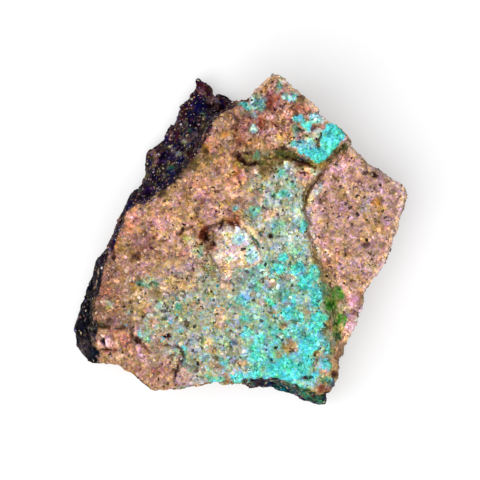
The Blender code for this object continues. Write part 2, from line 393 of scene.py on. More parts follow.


# Marks on the face, placed on its plan, in millimetres. A row of an `ovals` table is an oval's
# place across and up the face, its two radii, its strength and its turn. The last of them may be left out.
LEFT_FLANK = Field(soft=0.35, strength=1, outline=(
    (-0.6, 21.8), (-2.9, 20.5), (-4.5, 19.4), (-5.7, 17.6), (-6.2, 15.2), (-7, 13.4), (-8.6, 11.4),
    (-10.4, 9.4), (-12.3, 7.4), (-13.7, 6.7), (-14.9, 6), (-16.7, 5.4), (-18.2, 4.1), (-19.4, 1.9),
    (-20.3, -0.3), (-21.4, -2.6), (-22.4, -4.8), (-23, -7.7), (-23.4, -10.4), (-23.5, -13.6),
    (-23.2, -16.8), (-22.4, -19.2), (-22.6, -30), (-45, -30), (-45, 40), (-0.5, 40),
))
LOWER_FLANK = Field(soft=0.25, strength=1, outline=(
    (0.6, -22.6), (2.3, -22.1), (4.6, -22), (6, -22.4), (7.4, -22.9), (8.8, -23.5), (10.6, -24.3),
    (13.9, -24.8), (14.4, -35), (0.2, -35),
))
AJOITE_TOP = Field(soft=0.25, strength=1, outline=(
    (13.4, 18.2), (14.1, 18.9), (15, 19), (16, 18.4), (16.8, 17.4), (17.1, 16.6), (16.2, 15.7),
    (15.2, 14.6), (14.4, 13.6), (13.6, 12.8), (12.6, 12.6), (11.7, 13), (10.6, 13.6), (9.8, 14.4),
    (10.1, 15.2), (11.2, 15), (12.5, 14.7), (13.1, 15.4), (13.1, 17),
))
AJOITE_FOOT = Field(soft=0.5, strength=0.9, outline=(
    (3.8, -19.7), (5.8, -19.5), (6.9, -18.9), (8.3, -19.4), (9.8, -19.8), (10.2, -21.6), (8.3, -22.7),
    (5.1, -22.2),
))
AJOITE_LOW = Field(soft=1.2, strength=0.46, outline=(
    (1, -14.7), (3.5, -13.8), (9.3, -13.1), (13.8, -11.5), (13.6, -16.8), (12.3, -19.5), (13.4, -22.1),
    (10.9, -24), (3.5, -23.4), (0, -22.9), (1, -17.9),
))
AJOITE_MID = Field(soft=1.8, strength=0.26, outline=(
    (-0.3, -9.6), (1, -4.5), (3.5, -2.6), (9.3, -2.6), (12.5, -4.2), (13.4, -7.2), (13.8, -12.2),
    (9.3, -13.8), (3.5, -14.4), (0.6, -15.4),
))
AJOITE_SPOTS = ovals(
    (9.6, 19.5, 1, 0.8, 0.6, -30), (10.9, 18.6, 1.1, 0.8, 0.7, -20), (12.3, 19.8, 1, 0.8, 0.5),
    (10.1, 15.2, 0.8, 1, 0.6), (9.1, 15.5, 1, 0.8, 0.5), (11.4, 15.8, 1, 1, 0.4),
    (8.8, 17.6, 0.8, 1.6, 0.3), (8, 23.2, 1.3, 0.8, 0.5), (1.1, 21.6, 1.3, 0.6, 0.5, -20),
    (3, 22.1, 1.4, 1.3, 0.4), (2.2, 17.9, 0.6, 0.6, 0.4), (6.9, 10.9, 0.8, 1, 0.4),
    (8.5, 9.1, 0.6, 0.6, 0.3), (4.5, 9, 1.3, 0.6, 0.2), (7, 7.5, 1.1, 0.6, 0.4, 20),
    (2.4, 4.8, 0.8, 0.8, 0.3), (-0.6, 5, 0.6, 0.6, 0.4), (10.1, 2.2, 0.6, 1, 0.5, -20),
    (6.1, 2.4, 1.6, 1.3, 0.3), (6.9, -2.7, 0.8), (2.7, -3.7, 1.6, 1, 0.5), (6.2, -4.6, 1, 0.8, 1),
    (9.1, -4.5, 1.3, 1, 1), (11.8, -5.4, 1, 1.3, 0.7), (10.4, -6.7, 1, 1.3, 1), (12, -8.5, 1.1, 1.3),
    (12.5, -9.9, 0.8, 1.1), (9.3, -12.2, 1.3, 1, 0.5), (9.3, -1.9, 1.6, 1.1, 0.3),
    (2.7, -7.2, 0.6, 1.3, 0.4, 20), (7.4, -8.6, 1.9, 1, 0.4), (5, -9.8, 1, 0.6, 0.7, -30),
    (8.5, -10.1, 0.6, 0.8, 0.7), (7.5, -11.8, 1.1, 1, 1), (12.6, -12.8, 1.3, 1.3, 1),
    (11.7, -14.1, 1.3, 0.8), (1, -12.2, 0.8, 0.6, 0.5), (4.3, -13.1, 1, 0.8, 0.4),
    (3.7, -15.5, 0.8, 1, 0.6), (0.3, -9.6, 1.3, 0.6, 0.4, -35), (0.8, -14.9, 0.8, 1.3, 0.5),
    (2.6, -18.2, 0.8, 1.3, 1), (5.6, -16.5, 1.1, 0.6, 0.5, 30), (10.9, -17, 1.3, 1.9, 1),
    (11, -18.9, 1, 1, 1), (9.8, -20.8, 1, 1.3, 1), (2.7, -21.4, 0.8, 0.6), (-0.5, -21.8, 1.3, 0.6, 0.7),
    (-2.4, -19.7, 1.3, 0.5, 0.4, -30), (-3.5, -22.4, 1.4, 0.6, 0.5), (13.8, -19.7, 0.8, 1.1, 0.7),
    (14.4, -22.4, 0.6, 0.6, 0.4), (12.6, 16.8, 0.6, 1.3, 0.4), (13.8, -16.8, 0.6, 1.4, 0.5),
    (6.9, -23.4, 2.6, 0.8, 0.7, -5), (11.8, -21.1, 1, 1.3, 0.6), (-2.9, -15.7, 1.9, 1, 0.2, -30),
    (2.6, -22.4, 1.6, 0.5, 0.7), (0, -22.7, 1.3, 0.3, 0.6), (9.9, -23.7, 1.3, 0.6, 0.6, -30),
    (-9, -17.1, 0.5, 0.6, 0.5), (-12.8, -10.1, 0.3, 0.5, 0.4), (-15.8, -15, 0.3, 0.5, 0.5),
)
HAZE = Field(soft=1.8, strength=0.85, outline=(
    (2.6, 9.9), (3.8, 9.4), (5.4, 11.5), (7.7, 12.5), (9.6, 11.8), (10.6, 8), (10.6, 4.5), (11.4, 0),
    (12.6, -3.5), (13, -6.4), (13.4, -12.8), (12.8, -16.8), (12.5, -24.3), (9.6, -24.6), (0, -23.7),
    (-8, -23.4), (-9.3, -20.2), (-14.4, -16.8), (-16.3, -14.4), (-14.4, -9.6), (-10.4, -8.3), (-5.6, -4.5),
    (-4.2, -0.6), (1, 2.9), (1.9, 6.4),
))
HAZE_FRINGE = Field(soft=2.4, strength=0.3, outline=(
    (-19.2, -14.4), (-17.9, -8), (-14.4, -5.1), (-7, -2.9), (-4.5, 0.3), (0, 3.8), (1.3, 7), (2.2, 10.6),
    (8, 12.8), (10.2, 11.5), (12.5, -3.5), (13.6, -14.4), (12.2, -23.7), (-8.8, -23.7), (-14.4, -19.2),
))
SLAB = Field(soft=0.9, strength=1, outline=(
    (17.6, 14.7), (26.4, 8), (24.2, -0.6), (20.2, -7.4), (16.8, -8), (14.4, -4), (13.1, -1.6), (12, 1.6),
    (11.2, 4.5), (11.4, 6.4), (12.8, 9), (13.6, 11.5),
))
CRATER = Field(soft=0.35, strength=0.95, outline=(
    (-4, -1), (-3.4, 1.3), (-2.2, 2.4), (-0.6, 2.2), (1, 1), (2.1, -0.5), (3, -1.8), (3.5, -3.5),
    (2.6, -4.3), (1, -4), (-1, -4.5), (-1.3, -5.8), (-1.9, -6.9), (-2.9, -6.2), (-3.2, -4.5), (-4.2, -3.5),
    (-4.6, -2.2),
))
BLOCK = Field(soft=1, strength=0.8, outline=(
    (-0.6, 22.1), (3.5, 24.6), (5.6, 27.2), (7.7, 25), (9.6, 23), (12.8, 19.8), (11.7, 16), (9, 15),
    (6.4, 15.4), (3.5, 15.8), (0.6, 14.7), (-1.3, 15.7),
))
BURNT = Field(soft=0.9, strength=0.5, outline=(
    (-2.9, 20.5), (0, 17.3), (3.5, 15.7), (3.5, 14.1), (-0.6, 11.5), (-4.2, 10.9), (-8.3, 10.9),
    (-5.9, 14.1), (-4.8, 17.9),
))
MARGIN = Field(soft=0.9, strength=0.6, outline=(
    (-19.8, 0.3), (-18.6, -1.9), (-19.5, -7.4), (-17.9, -11.5), (-17, -13.8), (-19.5, -14.7),
    (-22.7, -14.1), (-24, -11.5), (-23, -5.1), (-21.1, -1),
))
GROOVE = Field(soft=0.7, strength=0.9, outline=(
    (-1, 13.6), (0.8, 14.4), (3.5, 14.2), (6.7, 14.7), (9.9, 13.6), (12.5, 12.3), (12.3, 11.4), (9.6, 11.8),
    (6.9, 12.5), (5.1, 11.5), (3.5, 10.6), (2.6, 11.8), (0.3, 11.5), (-1, 12.3),
))
# The step down to the slab: an olive stain, with colours lighter than its own as painted light on the wall's
# shade.
STEP_STAIN_AND_LIGHT = Field(soft=0.25, strength=0.45, outline=(
    (17.4, 16), (16.3, 15), (15, 13.9), (13.9, 12.6), (13, 11.2), (12, 9.6), (11.2, 8.2), (10.7, 6.7),
    (10.6, 5.1), (10.9, 3.2), (11.2, 1.3), (11.8, -1.3), (12.8, -3.5), (15, -5.8), (16.5, -7.7),
    (16.8, -9.6), (16.5, -13.6), (16.2, -16.8), (16, -21.6), (15.4, -23.7), (13.1, -23.7), (12.6, -21.1),
    (13, -17.9), (13.6, -15.2), (13.4, -11.2), (13.1, -8), (12.5, -5.6), (11.7, -3.5), (11, -1.3),
    (10.6, 1.3), (10.2, 3.8), (10.1, 6.4), (10.4, 8.3), (11.4, 9.9), (12.5, 11.5), (13.4, 13), (14.7, 14.2),
    (16.2, 15.5),
))
BARE = ovals(
    (-3.4, -11.7, 0.8, 1, 0.7), (-3, -13.3, 0.8, 1.4), (-5.1, -16.3, 0.6, 0.6, 1),
    (-4.5, -17.6, 0.6, 0.5, 0.8, -30), (-2.1, -7.4, 0.8, 0.6), (0.5, -19.8, 1, 0.6), (8, -17.1, 1.3),
    (6.4, -18.1, 0.8, 0.6, 0.4), (5.1, -7, 0.8, 0.6), (2.2, -8.5, 0.5, 0.5, 0.5), (3.5, -10.2, 0.6),
    (7, -13.6, 0.6), (4.8, -11.5, 1, 0.6, 0.4), (10.7, -11.4, 0.5, 0.6, 0.5), (4.8, 4.2, 1.3, 1),
    (10.1, 11, 1.1, 0.6, 1), (10.1, 9, 1.1, 0.5), (-6.2, -20.2, 0.6, 0.6, 0.6),
    (-3.7, -20.2, 0.8, 0.8, 0.7), (-2.2, -21.8, 0.6, 0.5, 0.6), (7.8, -5.9, 1.1, 0.5, 0.6),
    (4.5, -6.1, 0.6, 0.6, 0.5), (-14.1, -13.3, 0.5, 0.8), (12.3, -18.2, 0.5, 1, 0.8, 25),
    (12, -20, 0.4, 1, 0.6, -5), (13.6, -21.3, 0.6, 0.5),
)
FACE_STAINS_AND_LIGHT = (
    StainAndLight("pale mint", "bce2d2", ovals(
        (9.8, 5.3, 1, 2.6, 0.6), (4.8, 6.1, 1.9, 1.3, 0.4), (7, 0, 2.6, 1.9, 0.5), (9.3, -1, 1, 1.9, 0.6),
        (4.5, -1.9, 1.3, 1, 0.5), (8.3, 8.6, 1.4, 1.1, 0.5), (3.7, -9.6, 1.9, 1.3, 0.3),
        (10.6, -1.6, 1, 1.6, 0.5), (0, -9.6, 2.2, 1, 0.3), (9.9, -11.2, 1, 1, 0.3),
    )),
    StainAndLight("salmon", "dc927c", ovals(
        (-12.3, -16.8, 1.4, 0.8, 0.6), (-16, -14.4, 1, 1, 0.5), (-14.7, -11.2, 1, 0.6, 0.6),
        (-17.4, 3, 1.3, 1.9, 1, -15), (5.6, 15.2, 1.3, 1, 0.5), (-1.3, 3.8, 1.9, 1.1, 0.5),
        (2.9, 6.7, 1, 1.3, 0.5), (-12.8, -15.4, 1.8, 1, 0.6), (-8, -7.2, 1.8, 0.8, 0.5),
        (-6.4, -10.4, 1.1, 0.8, 0.5), (23.2, -1.9, 0.6, 1.9, 0.5, -25), (-10.9, 3.8, 1.3, 1, 0.6),
        (-9.1, -2.6, 1, 0.6, 0.7), (-7.2, 9.3, 1.4, 1, 0.7), (-5.9, 8.6, 1, 1.9, 0.5), (-1.4, 9.4, 1.1),
        (0.5, 10.2, 0.8, 0.8, 0.6), (-13.1, 3.5, 1.4, 1.6, 0.4), (-12.2, -21.3, 2.2, 1.4, 0.5),
        (-4.5, 15, 1.3, 1.6, 0.6), (10.4, 21.3, 1.4, 0.8, 0.8, -35), (10.2, 10.6, 1, 0.8, 0.8, -20),
        (17.6, -9, 1.4, 1.3, 0.6), (-4.2, 4.8, 1.1, 0.6, 0.5), (17.3, 13.6, 1.4, 0.8, 0.6, -30),
        (-19.5, -15, 1.3, 0.6, 0.6), (14.4, -23.8, 0.8, 0.5, 0.7), (0.5, 17.6, 0.6, 1, 0.6),
        (9.1, 21.3, 1.4, 0.6, 0.6), (-16, -17.6, 2.2, 1, 0.4), (-16.6, -20.5, 1.9, 0.8, 0.4, -30),
        (13.6, -0.2, 1, 1, 0.5), (15.7, -1.6, 0.8, 1.3, 0.5), (14.1, -3.8, 1, 0.6, 0.5, -30),
    )),
    StainAndLight("pink", "e6b0aa", ovals(
        (5.1, 20, 0.8, 0.6, 1), (7.4, 17.4, 0.6, 1, 0.7), (7, 20.2, 0.8, 1, 0.5), (4, 16.8, 0.8, 1, 0.5),
        (16.2, 12.3, 1.4, 1, 0.8, -10), (14.1, 10.7, 1.1, 1, 0.6), (13.3, 5, 1, 0.8, 0.6),
        (12.3, 0, 0.6, 1, 0.7, -20), (17.1, -14.6, 0.8, 0.8, 1), (17.3, -12.2, 0.8, 0.6, 0.7),
        (18.1, -9.3, 1.1, 1, 0.7), (-8.5, -21.6, 1, 1.3, 0.6), (-4, -2.2, 0.6, 0.6, 0.7),
        (-12.6, 2.2, 0.8, 1, 0.6), (-2.7, 18.9, 0.8, 0.8, 0.5), (-21.6, -16.2, 1.8, 1, 0.8, -5),
        (-15.2, -18.9, 1, 0.6, 0.7), (-16.6, -14.2, 0.5, 1, 0.7), (-5.9, 5, 1.3, 0.6, 0.4),
        (-4.5, 3, 1.3, 0.5, 0.8, 20), (3.2, 0, 0.5, 1.1, 0.8, -25), (-2.4, 11.2, 1, 0.6, 0.6),
        (12.5, 1.9, 0.6, 1, 0.7), (-15.4, -4.5, 1, 1.6, 0.5), (-17.9, 3.8, 1, 0.6, 0.6),
        (16.6, -6.6, 0.6, 0.8, 0.6), (14.4, 8.6, 1.3, 0.6, 0.4), (-13.6, -13.1, 0.5, 0.8, 0.6),
        (-11.5, -19.5, 1, 0.8, 0.5), (16.8, 2.9, 1, 0.8, 0.3),
    )),
    StainAndLight("rose", "b46270", ovals(
        (-18.4, -15.7, 1.1, 0.5, 0.6), (-13.4, -20.8, 1.1, 0.6, 0.6), (4.8, 23.7, 0.8, 0.5, 0.6, 20),
        (-14.7, 0.6, 0.8, 0.5, 0.6), (-14.7, -1.3, 0.6, 0.6, 0.6),
    )),
    StainAndLight("peach", "e8c49e", ovals(
        (6.2, 16.2, 1.1, 1, 1), (1.8, 16.5, 1.4, 0.6, 0.5), (-15.7, -8.8, 1.4, 1),
        (-15.4, -10.1, 1.4, 0.5, 0.6), (-3.5, -11.4, 0.6, 0.8, 0.7), (-3, -13.3, 0.6, 1.4),
        (-5.1, -16.3, 0.6, 0.6, 1), (-4.6, -17.6, 0.8, 0.5, 0.7, -30), (-1.9, -7.4, 0.8, 0.6),
        (-2.2, -4.5, 1, 1.1), (4.8, 4, 1.6, 1.1, 0.6), (5.8, 5.1, 1.6, 0.5, 0.4), (-1, 7.4, 1.3, 0.5),
        (1.4, 8.5, 1, 0.5, 0.8, 30), (-1.9, 10.7, 0.8, 0.5, 0.6), (5.3, -7, 0.6), (0.5, -19.8, 1, 0.6),
        (21.3, -4.5, 1.3, 0.6, 0.8, -10), (-8.6, -6.7, 2.9, 1.1, 0.4), (-11.8, -8, 1.3, 0.8, 0.5),
        (17.9, -8, 1.3, 0.8, 0.6), (3.8, 24.3, 0.8, 1.3, 0.5, -30), (1.9, 23, 0.8, 0.5, 0.6, -30),
        (-19.5, -18.1, 0.6, 0.8, 0.6), (-2.4, 4, 1.3, 0.5, 0.6), (0.2, 3, 0.8, 0.5, 0.8, 20),
        (1.9, 1.3, 1, 1, 0.8, 30), (4.5, -1.1, 0.5, 1, 0.5, -35), (10.1, 11.2, 1, 0.5, 0.6),
        (-10.7, 2.7, 1, 0.8, 0.5), (-5.9, -20.2, 0.8, 0.8, 0.5), (2.6, 10.9, 0.8, 0.5, 0.6),
        (-17.3, -3.2, 1.3, 0.8, 0.3), (17.4, -16, 0.8, 0.6, 0.5),
    )),
    StainAndLight("ochre", "ae8c50", ovals(
        (7.8, -17.1, 1.4, 1.3, 1), (-11.5, 7.8, 1.4, 1, 0.7, 30), (-5.3, 12.8, 1.3, 0.8, 0.6, 20),
        (-7, 11.8, 1.3, 1, 0.6, 30), (1.9, 8.5, 1.1, 0.6, 0.5), (-3.5, 7.7, 1, 0.8, 0.4),
        (-9, 4.2, 0.8, 0.8, 0.6), (-8.2, 6.2, 0.8, 0.8, 0.4), (-8.2, 0.3, 1, 0.8, 0.5),
        (-17.6, -11, 1.3, 0.8, 0.6), (21.1, 2.9, 1.3, 1.6, 0.4), (13.9, -5.9, 1, 1.1, 0.7, 20),
        (10.1, 9, 1.1, 0.5, 0.8, -10), (7.2, -16.6, 1, 0.8, 1),
        (5.9, -17.9, 0.6, 0.8, 0.7), (-6.2, 1.9, 0.6, 1.3, 0.7, 10), (-13.4, -8.5, 1, 1, 0.5),
        (-9, -10.6, 1.4, 0.5, 0.6, -15), (-7, -10.9, 0.8, 1.3, 0.4), (-2.9, 14.4, 1, 0.8, 0.5),
        (3.7, 15.7, 0.8, 0.6, 0.5), (16.8, 8.3, 0.8, 1, 0.4), (1.6, -13.8, 0.6, 0.6, 0.6),
        (5.6, -11.5, 0.8, 0.6, 0.5), (10.7, -11.7, 0.6, 0.6, 0.6), (8.6, -5.9, 0.8, 0.5, 0.6),
        (-4, -19.7, 1, 1, 0.4), (-19.5, -4.2, 0.5, 1, 0.5),
    )),
    StainAndLight("orange", "c07a38", ovals(
        (-2.4, 17.1, 0.8, 0.6), (2.2, 15.8, 1.1, 0.6), (4, 24.3, 0.6, 0.6, 0.6), (-17, -7.4, 0.5, 0.6),
        (-17.9, 1.3, 0.6, 1.1, 0.6, 15), (-19.8, -0.6, 0.6, 1, 0.7), (21.9, 6.2, 0.8, 0.6),
        (23, 1.9, 1, 0.6, 0.4), (-0.8, 11.2, 0.6, 0.8, 0.5), (15.5, -18.7, 0.3, 2.2, 0.6),
    )),
    StainAndLight("brick", "863f30", ovals(
        (-1.1, 3.4, 1.3, 0.5, 0.8, -10), (-5.4, 2.1, 0.6, 0.6, 0.7), (1.6, 19.2, 1.9, 1, 0.4, 20),
        (0.2, 16, 0.8, 0.8, 0.6), (4.5, 22.2, 1.3, 1), (3.5, 18.9, 0.6, 1.3), (5.9, 22.9, 1, 0.8, 0.7),
        (-0.8, 17.9, 0.6, 1, 0.4), (9.1, 21.3, 0.8, 0.5, 0.6), (0.6, 20.3, 1.1, 0.5),
        (5.6, 18.9, 0.6, 0.6, 0.6), (-21.8, -8, 1, 1.4, 0.4, 10), (-19.5, -14.6, 1.6, 0.5, 0.5),
        (-18.1, -16.5, 1, 0.8, 0.4), (-0.3, 10.6, 0.6, 1.1, 0.6, 15), (13, -23.7, 0.8, 0.5),
        (-4.2, -1, 0.6), (-22.7, -17.6, 0.8, 0.3), (-20.5, -17.6, 1.1, 0.3), (-15.4, -1.9, 1, 0.6, 0.6),
        (-2.9, 12.8, 0.6, 1, 0.5), (-5.6, 15.5, 0.5, 1.4, 0.6),
    )),
    StainAndLight("mauve", "966a66", ovals(
        (3.5, 21.1, 1.9, 1.1, 0.4, -20), (1.6, 17.6, 1.9, 1.3, 0.3), (-21.1, -10.2, 2.1, 3.2, 0.3),
        (-20.5, -13.1, 2.2, 1.3, 0.7), (-15.7, -0.2, 1.9, 1.4), (-16.5, -1.9, 1.3, 1, 0.5),
        (19.5, -9.1, 0.6, 1.1, 0.6), (-0.6, 20.3, 1.4, 1.1, 0.6), (7, 22.6, 0.8, 0.6, 0.6),
        (12.3, 17.9, 0.6, 0.8, 0.6), (11.4, 16.5, 0.6, 0.6, 0.6), (-4.3, 1.6, 0.8, 1.1, 0.6),
        (-18.6, -4.8, 1.4, 1.4, 0.5), (-22.7, -7, 1, 1.9, 0.6), (16.3, 5.4, 1, 1.6, 0.4),
        (-5, 4.2, 1.1, 1, 0.5), (-13.8, -22.4, 1.3, 0.8, 0.4), (-19.2, -19.5, 1.3, 0.6, 0.3),
        (-1.9, 6.9, 1, 0.6, 0.5), (14.4, 3.2, 1.1, 0.6, 0.4), (20.2, 9.6, 1.3, 1, 0.4, -30),
        (18.9, 1.6, 1.3, 0.8, 0.4),
    )),
    StainAndLight("olive", "7a6838", ovals(
        (11, 7, 0.6, 1.6, 0.8, -12), (12.5, 10.2, 0.6, 1.4, 0.7, -35), (-21.4, -11.8, 1.1, 2.2, 0.5),
        (-18.4, -20, 1.9, 0.6, 0.4, -30), (-13.4, -21.4, 1.4, 0.6, 0.4), (16.5, -0.8, 0.8, 2.1, 0.4),
        (-7.7, 12.5, 1.6, 0.6, 0.8, 35), (-5.9, 14.4, 0.8, 0.8, 0.7), (-4.3, -4.8, 0.5, 1.3, 1),
        (-13.1, -8.3, 0.8, 0.8, 0.5), (4.8, 12.2, 1.3, 1.1, 0.7), (3.5, 10.9, 0.6, 0.8, 0.6),
        (11, 7.4, 0.5, 1.1, 0.7, 30), (9.6, 22.7, 0.8, 0.6), (15.7, 14.9, 1, 0.6, 0.8, -30),
        (12.2, -18.6, 0.5, 1.4, 0.8, 15), (14.6, -16.8, 0.8, 1.3, 0.5), (-18.4, -13.4, 1.1, 0.5, 0.7),
        (1.3, 13.1, 1, 0.5, 0.6), (12.2, -2.2, 0.6, 1, 0.6), (12.6, -3.5, 0.5, 1, 0.6), (4.2, 10.2, 0.6),
        (5.9, 8.5, 0.8, 0.6, 0.5), (2.4, 8, 0.8, 0.5, 0.7, 20), (-18.6, -1.3, 1.1, 0.6, 0.6),
        (-20.5, -7.4, 1.3, 0.6, 0.5), (-5.3, -4.8, 0.6, 0.8, 0.5), (14.4, -12, 0.6, 1.3, 0.6),
        (13.6, -14.4, 0.6, 1.1, 0.6), (13.1, -5.1, 0.5, 0.8, 0.6), (-8.5, -13.1, 0.8, 0.5, 0.6, -30),
        (15.5, -22.4, 0.5, 1.4, 0.4), (-3.8, 13.6, 1, 0.6, 0.5),
        (8.6, 18.1, 0.6),
    )),
    StainAndLight("moss", "3a4418", on_walls=True, parts=ovals(
        (7.4, 13.9, 1.9, 0.8, 1, -10), (9.9, 12.8, 1.6, 0.6, 1, -15), (7.7, 13.1, 1.3, 0.6),
        (7, 14.4, 0.8, 0.6, 0.7), (17.1, 15.2, 1, 0.5, 0.8, 25), (15.5, 14.4, 1.1, 0.3, 0.8, -40),
        (14.1, 13, 0.8, 0.3, 0.8, -45), (-22.2, -13.8, 1.1, 0.6), (14.4, -19.5, 0.3, 1, 0.6),
        (10.6, 5.6, 0.3, 1, 0.7, -5), (9.1, 17.9, 0.5, 0.5, 0.7), (5.8, 11.2, 0.6, 0.6, 0.6),
        (3.5, 12.3, 0.6, 0.5, 0.6), (-9, -18.4, 0.3, 0.8, 0.7, 20),
    )),
    StainAndLight("sage", "a8ba9e", ovals(
        (12.2, 11.5, 1.1, 1, 1), (11, 17.1, 1.1, 1.3, 0.6), (13.1, 19.5, 1.1, 0.8, 0.5),
        (0.8, 20.5, 1, 0.6, 0.6), (-7, -1.9, 1.1, 1, 0.7), (-8, 0, 1, 0.8, 0.7), (20.2, 5.6, 0.8, 1.3, 0.4),
        (-14.7, -6.7, 1.3, 0.6, 0.8, -10), (-14.7, -14.6, 0.8, 1.4, 0.5), (-20.8, -10.2, 0.6, 1, 0.8, 20),
        (6.1, 25, 0.6, 1, 0.5), (6.9, 11.2, 1.3, 1, 0.8, -20), (-2.1, -0.2, 0.8, 0.8, 0.7),
        (8, 15.4, 0.6, 0.5), (4, 14.1, 0.8, 0.5, 0.6), (-14.9, -16, 0.5, 0.8, 0.7),
        (10.2, 4.8, 0.5, 1.6, 0.6, -10), (-6.6, -18.1, 0.8, 0.6, 0.7), (1.9, 8.8, 0.8, 0.8, 0.5),
        (1.1, 4.2, 0.8, 0.6, 0.6), (-5.8, -7.7, 0.8, 0.8, 0.5), (8, 8, 1, 0.8, 0.5),
    )),
    # Painted light: a near-white line on the step's wall, where the wall falls in shade.
    StainAndLight("step edge painted light", "ffecd8", on_walls=True, parts=ovals(
        (11.4, 7, 0.4, 1.4, 0.8, -8), (11.4, 4.3, 0.4, 1.4, 0.8, 5), (11.8, 1.3, 0.4, 1.4, 0.8, 12),
        (12.5, -1.6, 0.4, 1.3, 0.6, 15),
    )),
    StainAndLight("faded green", "6d9160", on_walls=True, parts=ovals(
        (16.8, -11.5, 0.8, 1.6, 0.5), (15, -11.5, 1.1, 1.3, 0.6), (14.6, -15.7, 0.8, 1.3, 0.6),
        (13.8, -8, 0.8, 1.3), (14.2, -17.8, 0.8, 0.6, 0.6), (12, -25.3, 1.3, 0.5, 0.6),
        (13.6, -11.2, 0.5, 1, 0.5),
    )),
    StainAndLight("green", "367e26", on_walls=True, parts=ovals(
        (15.7, -8.5, 1.1, 1, 1), (14.6, -10.2, 1, 1.1, 1), (16.2, -13, 0.8, 1, 1),
        (15.4, -14.4, 0.5, 1, 0.6),
    )),
    StainAndLight("deep green", "164a1a", on_walls=True, parts=ovals(
        (5.4, -22.4, 1.4, 0.3), (8, -23, 1.3, 0.4, 0.8, -25), (10.2, -23.8, 1.3, 0.4, 0.8, -20),
        (11.8, -24.6, 1.1, 0.4, 0.8, -25), (14.7, -10.2, 0.5, 0.5, 1), (15.5, -13.4, 0.3, 0.5, 1),
        (15.7, -15.8, 0.5, 0.6, 1), (13.4, -8.8, 0.3, 1.3, 0.5), (14.4, -8.3, 0.3, 0.6, 0.6),
    )),
    StainAndLight("sea green", "4a9678", on_walls=True, parts=ovals(
        (-6.4, -2.1, 0.8, 0.8, 0.6), (-14.4, -7.4, 1, 0.6, 0.7), (-9, -17.9, 0.6, 1.3, 0.5),
        (-9.9, -10.7, 0.6, 0.8, 1), (-15.7, -6.9, 0.6), (-13.6, -7.2, 0.8, 0.6, 0.7),
        (2.7, 13.6, 0.6, 0.5, 0.8, -10), (1, 21.4, 1.1, 0.6, 0.8, -15), (13.9, -22.6, 0.6),
        (6.4, 25.3, 0.5, 1), (11.4, 18.6, 0.6, 0.5), (1.6, -5.1, 1, 0.6, 0.6),
        (13.1, 13.4, 0.5, 1.1, 0.7, -40), (6.7, 10.6, 0.6, 0.8, 0.6), (6.2, 7.2, 1.3, 0.6, 0.7),
        (2.2, 4.5, 0.8, 0.6, 0.5), (-15, -15.5, 0.5, 1.1, 0.6), (-9, -19.5, 0.6, 1, 0.6, 30),
        (1, -12.5, 1, 1, 0.5), (13.1, -7.5, 0.5, 0.8, 0.6), (14.4, -19.8, 0.5, 1.3, 0.5),
        (-4.8, -22.1, 1.1, 0.6, 0.5), (4.8, -13.8, 0.8, 0.6, 0.5),
    )),
)
CRATER_STAINS = (
    StainAndLight("cream", "f8ead0", ovals(
        (-1.9, 1, 1, 0.6, 1, -30), (-3.5, -2.7, 0.8, 1), (0.6, -3.5, 1, 0.5),
        (-1.1, 1.4, 1.3, 0.6, 0.8, -15), (-2.2, 0.6, 0.6, 1, 0.6), (-2.6, -5.3, 0.8),
    )),
    StainAndLight("rosy white", "f0c0b4", ovals(
        (-4, -1.3, 0.6, 1), (-1.6, -1.4, 0.8), (-2.9, -3.7, 0.6, 0.6, 0.6),
    )),
    StainAndLight("peach crest", "e8bc94", ovals(
        (0.3, -2.7, 0.8, 1.1), (-2.1, -4.5, 1), (-0.6, -3.5, 1, 0.6, 0.6), (2.6, 1.3, 0.5, 0.6, 0.6, -30),
        (-2.9, -6.9, 0.6, 0.8), (-0.3, 2.6, 1.4, 0.5, 0.6),
    )),
    StainAndLight("mint", "8ed6c8", ovals(
        (-0.3, 0.2, 1, 0.8), (1.8, -2.6, 1.1, 1), (1.4, -1.3, 0.5, 0.6), (-2.2, -1, 0.5, 0.5, 0.5),
        (-1.6, -2.9, 0.8, 0.3, 0.6),
    )),
    StainAndLight("cold white", "e8f0fa", ovals((1, 0.6, 1.4, 0.5, 1, -52), (-0.3, 1.4, 0.8, 0.5, 1, -30))),
    StainAndLight("fern", "1c4a30", on_walls=True, parts=ovals((2.6, -0.3, 1.3, 0.3, 1, -55))),
)
